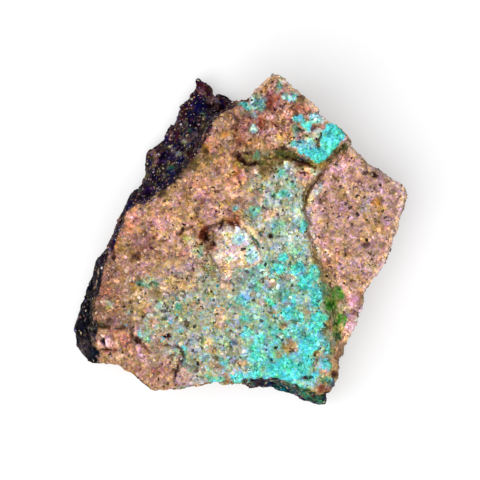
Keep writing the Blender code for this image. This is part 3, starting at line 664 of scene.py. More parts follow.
LATE_STAINS = (
    StainAndLight("ice", "c4e2e4", ovals(
        (8.3, 23, 0.5, 0.5, 1), (2.1, 17.9, 0.6, 0.5, 1), (2.2, 21.4, 0.6, 0.3), (2.1, 20.2, 0.5),
        (1.9, 22.6, 0.3, 0.5), (12.2, 19.8, 0.6, 0.5, 1, -15), (-12.8, -10.4, 0.5, 0.6),
        (12.8, 8.5, 0.3, 0.6), (12.2, 7.7, 0.5, 0.5, 0.7), (10.7, -23, 1, 0.5, 0.8, -10),
        (-17.9, -11.5, 0.3, 0.5, 0.7), (13.1, 19.2, 0.5, 0.3, 0.8, 20), (5.8, 10.2, 0.5, 0.6, 0.7),
        (7.7, 11.8, 1, 0.3, 0.8, -40), (3, 10.4, 0.6, 0.3, 0.7), (7.2, 10.1, 0.6, 0.3, 0.6, -40),
        (11.2, -8.6, 0.6, 0.5, 0.6), (4.5, 9, 0.3, 0.6, 0.5),
    )),
    StainAndLight("sky", "78bcd8", ovals(
        (10.1, 19.4, 1.1, 0.5, 0.8, -35), (9.9, 15.4, 0.6, 0.8), (11.7, 15, 0.6, 0.6, 0.6),
        (9.1, 3, 0.8, 0.6, 0.6), (0.2, -9.3, 1.1, 0.6, 0.7), (4.5, -17.1, 0.6, 1.1, 0.5),
        (13.1, -19.5, 0.5, 1), (-9, -17.3, 0.6), (-0.6, 5.3, 0.6, 0.5), (5.9, -4.2, 0.8, 0.6, 0.5),
        (-5.4, -18.9, 0.8, 0.8, 0.5),
    )),
    StainAndLight("slate", "3c4a60", ovals(
        (-1, -16.6, 0.8, 0.5, 0.8, 20), (2.7, 22.2, 0.6), (10.2, 13.1, 0.8, 0.5, 0.8, -20),
        (14.9, -22.9, 0.6, 0.6, 0.7),
    )),
    StainAndLight("oxblood", "5c1a0e", on_walls=True, parts=ovals(
        (-1, 2.6, 1.1, 0.6, 1, -10), (-5.1, -1.9, 0.2, 0.8), (0, 2.1, 1.1, 0.2, 0.8, -35),
        (-5.8, 1.1, 0.6, 1.4, 0.8, -10), (-4.3, -1.1, 0.5, 0.6), (12.8, -23.7, 0.5, 0.5, 0.5),
        (4.5, 22.1, 0.8, 0.6, 0.5), (3.4, 18.6, 0.3, 1, 0.5),
    )),
    StainAndLight("dark", "2a100c", on_walls=True, parts=ovals(
        (-4.2, -0.5, 0.5), (-5.3, 0.3, 0.3, 0.6, 0.8, 10), (-2.9, 2.6, 0.3, 1, 1, -10),
        (-4.2, 0.8, 0.2, 0.8, 0.6, 10), (-9.4, 1.4, 0.4, 1, 1, -38), (-16.6, -2.9, 0.6, 0.5, 0.8, 10),
        (-14.1, -1.3, 0.3), (-13.8, 0.3, 0.3, 0.3, 0.6), (-16.3, -16, 0.5, 0.8, 1, 30),
        (-9.9, -20.2, 0.3, 0.5, 0.8, -30), (-10.6, -21, 0.5, 0.3, 0.8, -30), (0.6, 12.5, 1, 0.4, 1, -20),
        (2.2, 12.2, 1, 0.2), (-0.2, 13.3, 0.5, 0.8, 1, 20), (0.8, 13.9, 1.1, 0.3, 0.7),
        (21.8, 10.6, 0.8, 0.5, 1, -30), (21.9, 8.3, 0.6, 0.3, 0.8, -30), (20.3, 11, 0.5, 0.3, 0.6),
        (20.5, -0.6, 0.6, 0.5, 0.7, 20), (15.2, -5.8, 0.6, 0.3, 0.8, -45), (18.2, -6.6, 0.5, 0.3),
        (9.9, 10.9, 0.8, 0.3, 1, -15), (4.8, 0.6, 0.6, 0.4, 1, -10), (3.2, 1, 0.2, 0.3),
        (10.1, 12.3, 1.4, 0.3, 0.8, -15), (10.7, -21.9, 0.8, 0.2, 1), (-20.3, -2.7, 0.4, 1),
        (18.7, -11.5, 0.6, 0.3, 0.7), (-17.3, -14.9, 0.3, 1, 0.7), (7.2, 14.9, 0.6, 0.3), (9.4, 18.1, 0.3),
        (9.8, 23, 0.6, 0.3, 0.7, -30), (-15.5, -12.2, 0.4, 0.3, 1), (13.9, -24.5, 0.6, 0.5),
        (15.2, -21.3, 0.5), (-11.2, -15.5, 0.3, 0.3, 1), (-10.1, -17, 0.5, 0.2, 0.8, -20),
        (-11.8, -16.8, 0.5, 0.3, 0.5), (-7.5, -4.6, 0.4, 0.3, 1), (-5.8, -6.7, 0.5, 0.2, 0.7),
        (-12.3, -11.4, 0.5, 0.2, 0.6), (-21.9, -13.8, 1.3, 0.3, 0.6), (-18.9, -14.1, 1.4, 0.2, 0.6, -10),
        (-7.8, -10.4, 0.5, 0.2, 0.5, -20), (-1, 13.9, 0.5, 0.5, 0.6), (-0.6, 19.2, 0.5, 0.5, 0.7),
        (-5.6, 14.4, 0.5, 0.3, 0.7), (-0.2, 9.3, 0.3, 0.3, 0.7), (14.6, 5.3, 0.3, 0.3, 0.6),
        (17, -2.1, 0.3, 0.5, 0.4),
    )),
)
RIND_STAINS_AND_SHEEN = (
    StainAndLight("rind navy", "06063c", on_walls=True, parts=ovals(
        (-6.4, 21.3, 1.3, 1, 1, -30), (-7.7, 20.2, 1.1, 0.6, 0.8, -10), (-9.9, 12.6, 0.8, 0.6, 1),
        (-11, 10.7, 1, 0.6, 0.7), (-25, -11.5, 1.3, 2.9, 1, 10), (-22.9, -5.6, 0.8, 2.6, 0.8, 10),
        (-23, -18.7, 1.3, 0.6, 0.6, -40), (4.5, -22.9, 1.4, 0.5), (-8, 17.8, 0.6, 0.6, 0.6),
        (-17.9, 5.3, 1), (-25.6, -14.4, 0.6, 1.3, 0.5),
    )),
    StainAndLight("rind blue", "161c50", ovals(
        (-7, 17.1, 0.5, 0.5, 1), (-11, 11, 0.8, 0.5), (-5.1, 19.7, 0.5), (4.8, -23, 0.5, 0.3, 1),
        (-3.8, 20.3, 0.6, 0.5, 0.5),
    )),
    StainAndLight("rind violet", "301452", ovals(
        (-6.6, 22.9, 0.8, 0.5, 0.7), (-10.9, 13.1, 1, 0.5), (-15.5, 6.1, 1.6, 0.5, 0.8, 20),
        (-19.7, 1.6, 0.6), (-14.4, 7.8, 1, 0.5), (-11.4, 16, 1, 0.5, 0.5, -30),
        (-12.3, 12.6, 0.6, 0.5, 0.6), (-9.9, 15, 0.5, 0.6, 0.6), (-21.8, -3.4, 0.5, 0.6, 0.6),
        (-24.3, -15.5, 0.5, 0.5, 0.6),
    )),
    StainAndLight("rind maroon", "44121c", ovals(
        (-6.4, 24.3, 1.3, 1.3, 1), (-13.6, 14.4, 1.1, 1, 0.7), (-5.6, 24.6, 1, 0.6, 0.8, -40),
        (-6.6, 25.6, 0.3, 0.6, 0.6), (-7.7, 23, 0.6), (-9.1, 20.6, 0.6), (-9.4, 19, 0.5, 0.5, 0.5),
        (-10.2, 17.3, 0.5, 0.8), (-7.4, 13.6, 0.8, 0.6), (-3, 20.8, 0.5, 0.6, 0.6),
        (-19.2, 2.4, 0.5, 0.8, 0.6), (-8, 12.5, 1, 0.5, 0.6, 30), (-1.3, 21.8, 0.8, 0.6, 0.6),
        (-12.8, 12.2, 0.6, 0.5, 0.5), (-20.5, -1, 0.5, 0.8, 0.5), (-23.4, -12.8, 0.5, 1.3, 0.5),
    )),
    StainAndLight("rind olive", "4e4628", ovals(
        (-3.4, 22.1, 0.6, 0.6, 0.7), (-5.9, 18.4, 0.8, 0.5), (-12.2, 14.7, 0.8, 0.5),
        (-13.9, 12.8, 0.8, 0.5, 0.7), (-15, 10.2, 0.6), (-14.2, 8.6, 0.8, 0.5, 0.7),
        (-9.9, 18.1, 0.6, 0.5, 0.6), (-8.5, 14.4, 0.6, 0.6, 0.5), (-9, 11.8, 0.6, 0.5, 0.6),
        (-22.4, -4.5, 0.5, 0.8, 0.6), (-23.5, -14.4, 0.6, 0.6, 0.5), (-14.4, 11.2, 0.6, 0.8, 0.5),
        (-9.9, 9.4, 0.6, 0.5, 0.5, 30),
    )),
    StainAndLight("rind green", "2c8052", on_walls=True, parts=ovals(
        (-5.9, 19.8, 0.5, 0.5, 0.6), (-8.2, 17.6, 0.5, 0.5, 0.6), (-11.2, 11.7, 0.6, 0.3, 0.8, -10),
        (-16.2, 8.2, 0.6, 0.5, 0.6), (6.4, -23.4, 1.1, 0.4, 0.8, -15), (8.5, -24, 0.8, 0.5, 0.6, -20),
        (1.3, -22.7, 1, 0.2, 0.6), (10.4, -24.6, 1.3, 0.5, 1, -30), (12.2, -25.4, 1.3, 0.6, 1),
    )),
    StainAndLight("rind teal", "04647a", ovals(
        (7.2, -23.5, 1.1, 0.5, 0.8, -15), (5.1, -22.7, 0.6, 0.3, 0.6), (-23.2, -18.2, 0.6, 0.6, 0.4),
        (12.8, -25.8, 0.8, 0.3, 0.5),
    )),
    StainAndLight("lichen", "9ca484", ovals(
        (-9.9, 13.8, 0.6, 0.5, 1, 10), (-8.8, 15.7, 0.5, 0.5, 1), (-8.6, 18.7, 0.3, 0.6, 0.7, 10),
        (-12.3, 10.2, 0.5), (-10.1, 11.7, 0.3, 0.3, 1), (-23.5, -13.9, 0.6, 0.3, 0.7),
        (-24.3, -8.5, 0.3, 0.6, 0.5, 10),
    )),
    # Partly painted sheen: a pale grey patch on the lower-left flank, for grey crystals and the light they
    # reflect.
    StainAndLight("grey crystals and sheen", "e0d0d8", ovals((-25, -17, 0.8, 1.3), (-23.4, -15.5, 1.4, 0.5, 0.8, -35))),
    StainAndLight("mauve grey", "86686e", ovals(
        (-4.3, 22.7, 1.1, 0.8, 1), (-11.7, 17.3, 0.8, 0.6), (-7.2, 16.8, 0.8, 0.8, 0.6),
        (-13.6, 13.1, 0.5, 1.1, 0.6), (-13.8, 13.9, 0.8, 0.6, 1), (-3.7, 21.4, 0.6, 0.6, 0.7),
        (-6.2, 24, 0.6, 0.3), (-4.3, 23.2, 0.5, 0.3), (-8, 16.2, 0.6, 0.5, 0.6), (-9, 16.3, 0.6, 0.3, 0.6),
        (-6.2, 19.2, 0.8, 0.5, 0.5), (-24.5, -16.8, 0.6, 1),
    )),
)
# Broad casts over the finished colours: painted shade where darker, painted light where lighter, and yellower
# and bluer tints.
CASTS = (
    Cast("shadowed", (0.8, 0.8, 0.8), ovals(
        (2.9, 18.6, 2.6, 2.9, 0.2), (-16, -5.6, 4.2, 7, 0.2), (-1.9, 15.5, 1.3, 1.1, 1),
        (-2.4, 19.8, 1.9, 0.8), (1.4, 20.3, 1.1, 1.4, 1), (-19.7, 1.6, 1.3, 0.8, 1),
        (-20.5, -4.2, 1, 1.9, 1), (-17.3, -8, 1.1, 1, 1), (-23.2, -11.4, 1.3, 1.6, 1),
        (-20, -13.6, 1.6, 1.3), (-16.8, -13.6, 1.3, 1, 0.6), (-22.9, -19.5, 1.1, 1, 1),
        (-12.8, -17, 1.6, 1.3, 1), (-9.9, -11.5, 1, 0.8, 0.6), (-6.7, -13.1, 1, 1, 0.6),
        (-12, -21.1, 1, 0.8, 0.6), (-2.9, -20.2, 1.1, 0.8), (-2.1, 2.1, 1.3, 1.1, 1), (-3.5, 0, 1, 1, 0.6),
        (6.1, 0, 1.6, 1.4), (21.6, 10.9, 2.6, 0.8, 1, -35), (25.1, 7.5, 0.8, 1, 1), (20, 5.8, 1),
        (23.7, 3.7, 1, 0.8), (16, 1.3, 1.3, 1.3, 0.3), (2.9, -23.5, 2.6, 0.6, 1), (14.4, -23.4, 1, 1.3, 1),
        (2.6, 5.9, 1, 0.8, 0.6), (19.5, -9.6, 0.6, 1), (-16, -2.9, 1.1, 0.8, 0.5), (19.8, 1.9, 1, 1, 1),
        (21.6, -1.9, 0.8), (4.5, -14.9, 1), (-7.2, -19.4, 1.3, 1, 1), (-4.6, -22.6, 0.6, 1, 0.7),
        (-8.5, -3.5, 1, 0.8), (-6.4, -8, 1.3, 0.6), (16, 14.7, 1.6, 0.6, 1, 30),
    )),
    Cast("deep shade", (0.55, 0.55, 0.55), ovals(
        (-24.6, -11.8, 1.1, 5.1, 0.4, 12), (-8.5, 11.4, 2.4, 0.8, 1, 35), (-5.3, 13.4, 1.1, 1),
        (-12.3, 7.5, 1.3, 0.6, 1, 35),
    )),
    Cast("painted light patches", (1.18, 1.18, 1.18), ovals(
        (-2.9, 9.9, 2.6, 3.2, 0.4), (-10.4, 1.6, 3.5, 4.2, 0.3), (11.4, 2.4, 0.8, 4.8, 0.7),
        (6.4, 1.6, 3.5, 3.8, 0.4), (18.2, -11.5, 1.3, 3.8, 0.5), (-5.9, 7.5, 1.8, 1.3, 1),
        (-2.9, 10.9, 1.1, 1, 0.6), (-6.1, 0.6, 1, 1.9, 1), (1.9, 2.1, 1.8, 1.3, 1), (0, -4, 1, 1.9, 0.7),
        (2.9, -11.5, 1.4, 1), (-2.9, -13.1, 1.1, 1.1, 0.5), (4.8, 20.3, 1), (8.3, 20.5, 1.6, 1.3, 1),
        (11.5, 17.9, 1.3, 1.9, 1), (14.7, 15.4, 1.9, 1.4, 0.8, -50), (14.7, 18.2, 1.3, 0.8, 0.8, -30),
        (11.5, 11.5, 2.6, 1.1, 1), (15.7, 12, 1.4, 1.3, 1), (18.6, 9.3, 1.1, 1, 0.7), (9.6, 4.5, 1.3, 1.4),
        (12.2, 0.8, 1, 3.8, 1, 10), (14.4, -2.4, 1.4, 1.9), (16, -6.6, 1.4, 0.8, 0.8, -20),
        (17, -12.8, 1, 4.8, 1), (12.2, -17.3, 1, 1.8, 1), (13.6, -21.3, 1), (-14.2, -7.5, 0.8, 1, 1),
        (-10.1, -18.6, 1.1, 1, 1), (-20.8, -16.5, 1.9, 0.8, 0.7), (-10.1, -23.7, 1.3, 0.8, 1),
        (-6.4, -21.3, 1, 1, 1), (-1.9, -23.4, 1.1, 0.6, 1), (-4.8, -4, 1.1, 1, 0.6),
        (10.1, -24.8, 1.4, 0.6), (16, -1.3, 0.8, 1),
    )),
    Cast("yellowed", (1.03, 1.02, 0.8), ovals(
        (-5.8, 17.6, 1.1, 1.1, 1), (-5.8, 14.7, 1.3, 0.8), (0, 12.3, 2.2, 0.6, 0.7), (-1.6, 10.4, 1, 0.8),
        (-14.4, -4.8, 1.4, 0.8, 0.7), (-9.9, -7, 2.6, 1), (-8, -9.9, 1, 0.8), (-20.5, -11.5, 1.1, 0.8, 0.6),
        (-15.7, -11, 1.1, 1, 1), (-12.3, -14.1, 1.6, 1.1, 0.6, 20), (-9.6, -12.2, 1.3, 1),
        (-4.8, -13.9, 1.1, 1), (-7.5, -18.9, 1.1, 1), (8.3, -1.6, 1.3, 1.9), (12.5, 12.2, 1.9, 0.8, 1),
        (7.2, 16.6, 1.6, 1, 1), (22.2, 5.3, 1.6, 0.8), (15.4, -2.6, 0.8, 1), (14.9, -10.2, 1, 1.1, 1),
        (16, -13.8, 1, 1.1, 0.7), (12, -24, 1.9, 0.6), (0.8, -22.9, 1.3, 0.6, 0.6), (16.8, 7.5, 1, 1.1),
        (11.2, 6.4, 1, 1.3, 0.7), (20.2, 1, 1.1, 1.1, 1), (18.4, -6.4, 1.9, 0.8), (-8, 3.7, 1),
        (-14.4, 3.7, 0.8, 1, 0.6), (-1.8, 2.9, 1.1, 1), (-16.5, -7.7, 1), (-4, -8.8, 1, 0.8),
        (5, -10.2, 1.4, 0.8, 1, 30),
    )),
    Cast("bluer", (1, 0.98, 1.2), ovals(
        (18.2, -11.5, 1.3, 3.8), (11.4, 2.4, 0.8, 4.5, 0.6), (-4.8, 7, 2.4, 1.3, 1),
        (-13.3, 2.9, 2.1, 1.6, 0.6), (-17.9, 1.3, 1.1), (-0.3, -0.2, 1.3, 1, 1), (5.1, -7.5, 1.8, 1.1),
        (3.7, -17, 1.1, 1), (13.1, -20.8, 1), (-12.5, -20.5, 1.3, 1.1, 0.7), (8, 23.2, 1),
        (24, 2.2, 1.1, 0.8), (20.2, -1.1, 1, 1, 0.6), (-15.2, -17.3, 1), (15.2, 16.3, 1.3, 1.1, 0.6),
        (16.8, 4.3, 1.9, 1), (9.3, 19.2, 1.1, 0.8, 0.5), (-9.1, -23, 1.6, 0.8), (1, -21, 1.6, 0.6),
        (9.6, -17.6, 1.3, 1.6), (14.4, -16.6, 0.8), (-8, -15.4, 1, 1.4, 0.8, 20), (1.9, -9, 1.3, 1.1),
        (2.6, -4, 1.3, 1, 0.7), (16.8, 10.9, 1.3, 1, 0.7), (21.8, 8.8, 1, 1, 0.7), (8, 7.8, 1, 0.8),
        (-8.8, -1.6, 1.3, 1, 0.5),
    )),
)
# Painted light along the right-hand edge, where the rounded rim turns away from the light and would fall in
# shade.
PAINTED_LIGHT_EDGE = Crack(0.4, 0, 0.75, (
    (2.4, 24), (5.6, 26.9), (9.6, 23.5), (16.8, 17), (18.2, 14.2), (21.1, 12.2), (25.1, 9.4),
    (26.4, 7.6), (25.1, 1.8), (22.7, -4.6), (20, -7.5), (20.2, -9), (17.9, -14.2), (16.2, -21.1),
))
CRACKS = (
    Crack(0.24, 0.18, 0.4, ((-17.6, -14.1), (-16.8, -16), (-15.7, -16.8), (-14.4, -17.9))),
    Crack(0.2, 0.2, 0.4, ((-22.4, -17.6), (-19.7, -17.6))),
    Crack(0.4, -0.45, 0, (
        (-5.9, 1.8), (-4.5, 2.9), (-2.4, 4.2), (-1.1, 3.8), (0.2, 2.9), (1.9, 1.4), (3.2, 0), (4.3, -1.9),
    )),
    Crack(0.28, 0.3, 0.3, ((-10.9, -17), (-9.6, -17.4), (-9, -18.7))),
    Crack(0.28, 0.4, 0.6, ((0.3, 12.6), (1.6, 12.2), (2.9, 12.4))),
    Crack(0.35, 0.4, 0.6, ((7.6, 13.3), (10, 12.6), (12.2, 11.6))),
    Crack(0.25, 0.15, 0, ((13.1, -16.8), (12.1, -18.2), (11.7, -19.6), (11.9, -21.1))),
    Crack(0.22, 0.3, 0.8, ((9.8, -21.9), (11.5, -21.9))),
    Crack(0.3, 0.25, 0.25, ((14.6, 17.6), (13.2, 17.2), (12.6, 15.4))),
    Crack(0.28, 0.4, 0.2, ((1.5, 0.3), (2.2, -0.8), (2.5, -1.5))),
    Crack(0.6, 0.35, 0.1, ((-6, 2.6), (-5.5, 0.6), (-5, -1))),
    Crack(0.3, 0.15, 0.5, ((13.4, 11), (11.7, 9), (10.7, 7), (10.3, 4.8))),
    Crack(0.25, 0.05, 0.15, ((10.3, 4.8), (10.6, 2.6), (11.2, 0.4), (12.2, -3))),
    Crack(0.25, 0.2, 0.3, ((12.8, 14.9), (14, 14.2), (14.6, 13))),
)
NUDGES = tuple(Nudge(*row) for row in (
    (26.2, 7.6, 4, 0.75, 0.2), (20.6, 12.2, 2.5, 0.2, 0.25), (17.8, 15.6, 2, 0.3, 0.2),
    (15.6, -20.8, 3, 0.45, 0), (-26.8, -13.6, 4, 0.5, 0), (-24.8, -19, 2.5, 0.3, 0.3),
    (-19.4, 4, 2.5, 0.4, -0.2), (-15.2, 12.8, 2.5, -0.25, 0.1), (-4.4, 24, 1.6, 0.25, 0.4),
    (-7, 24.5, 1.6, -0.4, 0.1), (4, 25.6, 2.5, 0.2, -0.25), (0.8, 22.6, 1.8, 0.2, -0.4),
    (-19.6, -20.2, 2, 0, -0.5), (-16, -22.4, 3, -0.15, -0.25), (11, 7, 2.5, -0.5, 0),
    (11, 2, 2.5, -0.5, 0), (-15.6, 9.2, 1.6, 0.9, -0.5), (-23.6, -6.4, 1.8, 0.35, 0),
    (-26.4, -12.8, 1.6, 0.3, 0), (16.8, -17.4, 1.4, -0.5, 0.1), (12.8, 20, 1.2, -0.35, -0.3),
    (23.4, -3.2, 2, 0.4, -0.1), (-5, 24.8, 1.2, 0.2, 0.3), (-1.6, -23.1, 1.5, 0, 0.35),
    (4, -23.4, 1.5, 0, -0.35),
))

BROWNS: Palette = (
    "3c140e", "c08c7c", "8c5c40", "e0b0a0", "5c2824", "cc9884", "94603c", "ecc8b8", "34100c",
)
RIND_DARKS: Palette = (
    "000014", "341452", "04040c", "5c2228", "02021c", "6c5c38", "0a0414", "26245c", "00000c", "5e4c58",
)
PAINTED_LIGHT_EDGE_COLOUR = "f6d2bc"
CRACK_COLOUR = "3a150e"


@dataclass
class Skin:
    """What the rock's skin carries at each of its points: the zones' amounts and its web colour values."""

    zones: dict[Zone, np.ndarray]
    shown: np.ndarray
    level: np.ndarray


@dataclass(frozen=True)
class SkinPainter:
    """Works out the rock's colours, from the minerals and stains that lie on its face, flanks and walls."""

    plan: FacePlan
    face: Mottle = Mottle(
        1.9, 1.0, ("9c6a50", "b9886e", "a8845c", "c6967f", "a08456", "bb8072", "ae8a68", "cfa08c")
    )
    face_flecks: Mottle = Mottle(
        0.8, 71.0, ("6a3c34", "d8a090", "9a8040", "e0b89c", "8c6068", "cc8c70", "a89058", "e8c4b4")
    )
    slab: Mottle = Mottle(
        1.7, 4.0, ("a67c6e", "c6998e", "b09464", "dcb0aa", "c0918c", "c6a488", "b88a9a", "e2bab2")
    )
    block: Mottle = Mottle(0.7, 81.0, BROWNS)
    margin: Mottle = Mottle(0.75, 85.0, BROWNS)
    burnt: Mottle = Mottle(
        0.7, 83.0, ("4a2c1c", "dcb08c", "7c5430", "ecc8a4", "9c6448", "cca060", "5c3824", "f0ccb0", "84603c")
    )
    haze: Mottle = Mottle(
        1.4, 7.0, ("949678", "b6baa2", "c5ae88", "a4beac", "b1b5ba", "cdbc96", "a1b69a", "d4c2aa", "b2c8c0")
    )
    haze_flecks: Mottle = Mottle(
        0.8, 77.0, ("4c7a70", "c8ccc0", "a08c50", "98c4b8", "8c90a8", "e0d0b8", "70a088", "b0a0a0")
    )
    groove: Mottle = Mottle(1.3, 11.0, ("5c4a26", "7c6a3c", "6a4a30", "8c8254", "4c5024", "8a6448"))
    # The step's colours are lighter than the rock's: painted light on the step's shaded wall.
    step: Mottle = Mottle(1.3, 11.0, ("8a7644", "b8a070", "a48c60", "c4ac84", "7c7a44", "b49472"))
    crater: Mottle = Mottle(
        1.2, 17.0, ("c8a282", "e8ccb8", "dcac98", "ecdcd0", "d0d0c4", "e2c2a0", "e8c8c4")
    )
    teal: Mottle = Mottle(
        1.1, 23.0, ("2c8c84", "48ece4", "4ad8b8", "6ee8e4", "40e4dc", "5cc4d0", "50f0d0", "2ca098", "60f4f0")
    )
    rind: Mottle = Mottle(1.5, 29.0, RIND_DARKS)
    walls: Mottle = Mottle(
        2.6, 33.0, ("8a6244", "b08868", "9a7e5a", "c09c84", "7e5e48", "b4946c", "a4766a")
    )
    wall_blooms: tuple[tuple[str, Bloom], ...] = (
        ("a0632f", Bloom(0.6, 6.5, 14.0, 0.05, 0.35)),
        ("6f6a3a", Bloom(0.7, 7.5, 41.0, 0.15, 0.45)),
        ("2c1a16", Bloom(0.8, 3.4, 17.0, 0.2, 0.5)),
    )
    wall_crust: Bloom = Bloom(0.6, 4.5, 27.0, 0.28, 0.55)
    wall_rind: Bloom = Bloom(1.0, 5.0, 8.0, -0.25, 0.15)
    wall_rind_lean: Span = (0.35, 0.7)
    wall_rind_side: Span = (2.0, -4.0)
    drifts: tuple[tuple[Ripple, Ripple], ...] = (
        (Ripple(1.0, 1.5, 1.0), Ripple(1.0, 1.5, 21.0)),
        (Ripple(0.7, 0.6, 5.0), Ripple(0.7, 0.6, 31.0)),
    )
    wander: float = 0.55
    rind_wander: float = 0.8
    crater_wander: float = 0.2
    late_wander: float = 0.4
    shading: tuple[Ripple, ...] = (Ripple(0.16, 1.1, 61.0), Ripple(0.12, 0.6, 67.0))
    blueness: Ripple = Ripple(0.22, 1.4, 87.0)
    ragged: Ripple = Ripple(1.1, 0.55, 91.0)
    patchy: Ripple = Ripple(0.8, 0.9, 95.0)
    slab_cover: float = 0.8
    teal_cover: float = 0.9
    rind_cover: float = 0.95
    rind_shade: float = 0.55
    shade_side: Span = (-15.0, -20.0)
    shade_foot: Span = (2.0, -8.0)
    levelness: Span = (0.25, 0.75)
    crust_levelness: Span = (0.0, 0.45)

    def skin(self, places: np.ndarray, normals: np.ndarray) -> Skin:
        """The zones and the colour of each point.

        Args:
            places: Points in millimetres.
            normals: The skin's normals there.

        Returns:
            The skin, with every zone but the hollows.
        """
        spots = self.plan.spots(places)
        drift = sum(np.column_stack([part.swells(places) for part in pair]) for pair in self.drifts)
        loose = spots + self.wander * drift
        ragged = np.clip(0.9 + self.ragged.swells(places), 0.0, 1.0)
        half_ragged = 0.5 + 0.5 * ragged
        level = eased(*self.levelness, normals[:, 2])
        rind = self._rind(places, spots + self.rind_wander * drift, normals)
        zones = self._zones(places, loose, normals, rind)
        crust = zones[Zone.AJOITE]
        shown = self._face(places, loose, zones)
        # Walls inside the slab and on the step don't take the walls' darker colours, and the step takes its
        # own lighter ones: painted light over the shade on the step's wall.
        inner = np.maximum(self.slab_cover * SLAB.amount(loose), STEP_STAIN_AND_LIGHT.amount(loose))
        shown = self._walls(places, shown, zones, (1.0 - level) * (1.0 - rind) * (1.0 - inner))
        for part, mottle in ((GROOVE, self.groove), (STEP_STAIN_AND_LIGHT, self.step)):
            shown = laid(shown, mottle.at(places), part.amount(loose) * (1.0 - rind))
        for stain in FACE_STAINS_AND_LIGHT:
            shown = stain.over(shown, loose, level, 0.9 * ragged)
        # Painted light along the right-hand edge.
        shown = laid(shown, coded(PAINTED_LIGHT_EDGE_COLOUR), PAINTED_LIGHT_EDGE.stain * PAINTED_LIGHT_EDGE.cut(spots))
        shown = laid(shown, self.crater.at(places), CRATER.amount(loose) * level)
        for stain in CRATER_STAINS:
            shown = stain.over(shown, spots + self.crater_wander * drift, level, half_ragged)
        shown = laid(shown, self.teal.at(places), self.teal_cover * eased(0.0, 0.7, crust))
        shown = shown * sum((ripple.swells(places) for ripple in self.shading), start=1.0)[:, None]
        shown[:, 2] *= 1.0 + self.blueness.swells(places)
        for stain in LATE_STAINS:
            shown = stain.over(shown, spots + self.late_wander * drift, level, half_ragged)
        cracked = np.max([crack.stain * crack.cut(spots) for crack in CRACKS], axis=0) * level
        shown = laid(shown, coded(CRACK_COLOUR), cracked)
        shown = self._rinded(places, shown, loose, rind, ragged)
        for cast in CASTS:
            shown = cast.over(shown, loose)
        return Skin(zones, shown, level)

    def _zones(
        self, places: np.ndarray, spots: np.ndarray, normals: np.ndarray, rind: np.ndarray
    ) -> dict[Zone, np.ndarray]:
        """The amounts of crust, haze and rind at each point."""
        upward = normals[:, 2]
        bare = strongest((CRATER, *BARE), spots)
        clear = eased(*self.crust_levelness, upward) * (1.0 - rind) * (1.0 - bare)
        haze = strongest((HAZE, HAZE_FRINGE), spots) * clear * eased(*self.levelness, upward)
        thin = np.clip(0.95 + self.patchy.swells(places), 0.2, 1.0)
        thin *= strongest((AJOITE_LOW, AJOITE_MID, *AJOITE_SPOTS), spots)
        ajoite = np.maximum(strongest((AJOITE_TOP, AJOITE_FOOT), spots), thin) * clear
        return {Zone.AJOITE: ajoite, Zone.HAZE: haze, Zone.RIND: rind}

    def _face(self, places: np.ndarray, spots: np.ndarray, zones: dict[Zone, np.ndarray]) -> np.ndarray:
        """The colours of the bare rock of the face, its browner parts and the haze."""
        half = np.full(len(places), 0.5)
        shown = laid(self.face.at(places), self.face_flecks.at(places), half)
        shown = laid(shown, self.slab.at(places), self.slab_cover * SLAB.amount(spots))
        for part, mottle in ((BLOCK, self.block), (BURNT, self.burnt), (MARGIN, self.margin)):
            shown = laid(shown, mottle.at(places), part.amount(spots))
        return laid(shown, laid(self.haze.at(places), self.haze_flecks.at(places), half), zones[Zone.HAZE])

    def _rind(self, places: np.ndarray, spots: np.ndarray, normals: np.ndarray) -> np.ndarray:
        """The dark weathered rind: the left flank, the lower flank and the walls under them."""
        flanks = strongest((LEFT_FLANK, LOWER_FLANK), spots)
        under = eased(*self.wall_rind_lean, -normals[:, 0]) * eased(*self.wall_rind_side, spots[:, 0])
        return np.clip(flanks + under * self.wall_rind.amount(places), 0.0, 1.0)

    def _rinded(
        self, places: np.ndarray, shown: np.ndarray, spots: np.ndarray, rind: np.ndarray, ragged: np.ndarray
    ) -> np.ndarray:
        """The colours with the rind and its own patches laid over them."""
        over = self.rind.at(places)
        for stain in RIND_STAINS_AND_SHEEN:
            over = stain.over(over, spots, np.ones_like(rind), 0.85 * ragged)
        shade = eased(*self.shade_side, spots[:, 0]) * eased(*self.shade_foot, spots[:, 1])
        shade = self.rind_cover * (1.0 - self.rind_shade * shade)
        return laid(shown, over * shade[:, None], rind)

    def _walls(
        self, places: np.ndarray, shown: np.ndarray, zones: dict[Zone, np.ndarray], wall: np.ndarray
    ) -> np.ndarray:
        """The broken walls and the back: fresh rock with iron, olive, manganese and a little crust."""
        shown = laid(shown, self.walls.at(places), wall)
        for colour, bloom in self.wall_blooms:
            shown = laid(shown, coded(colour), bloom.amount(places, wall))
        zones[Zone.AJOITE] = np.maximum(zones[Zone.AJOITE], self.wall_crust.amount(places, wall))
        return shown


# finishes


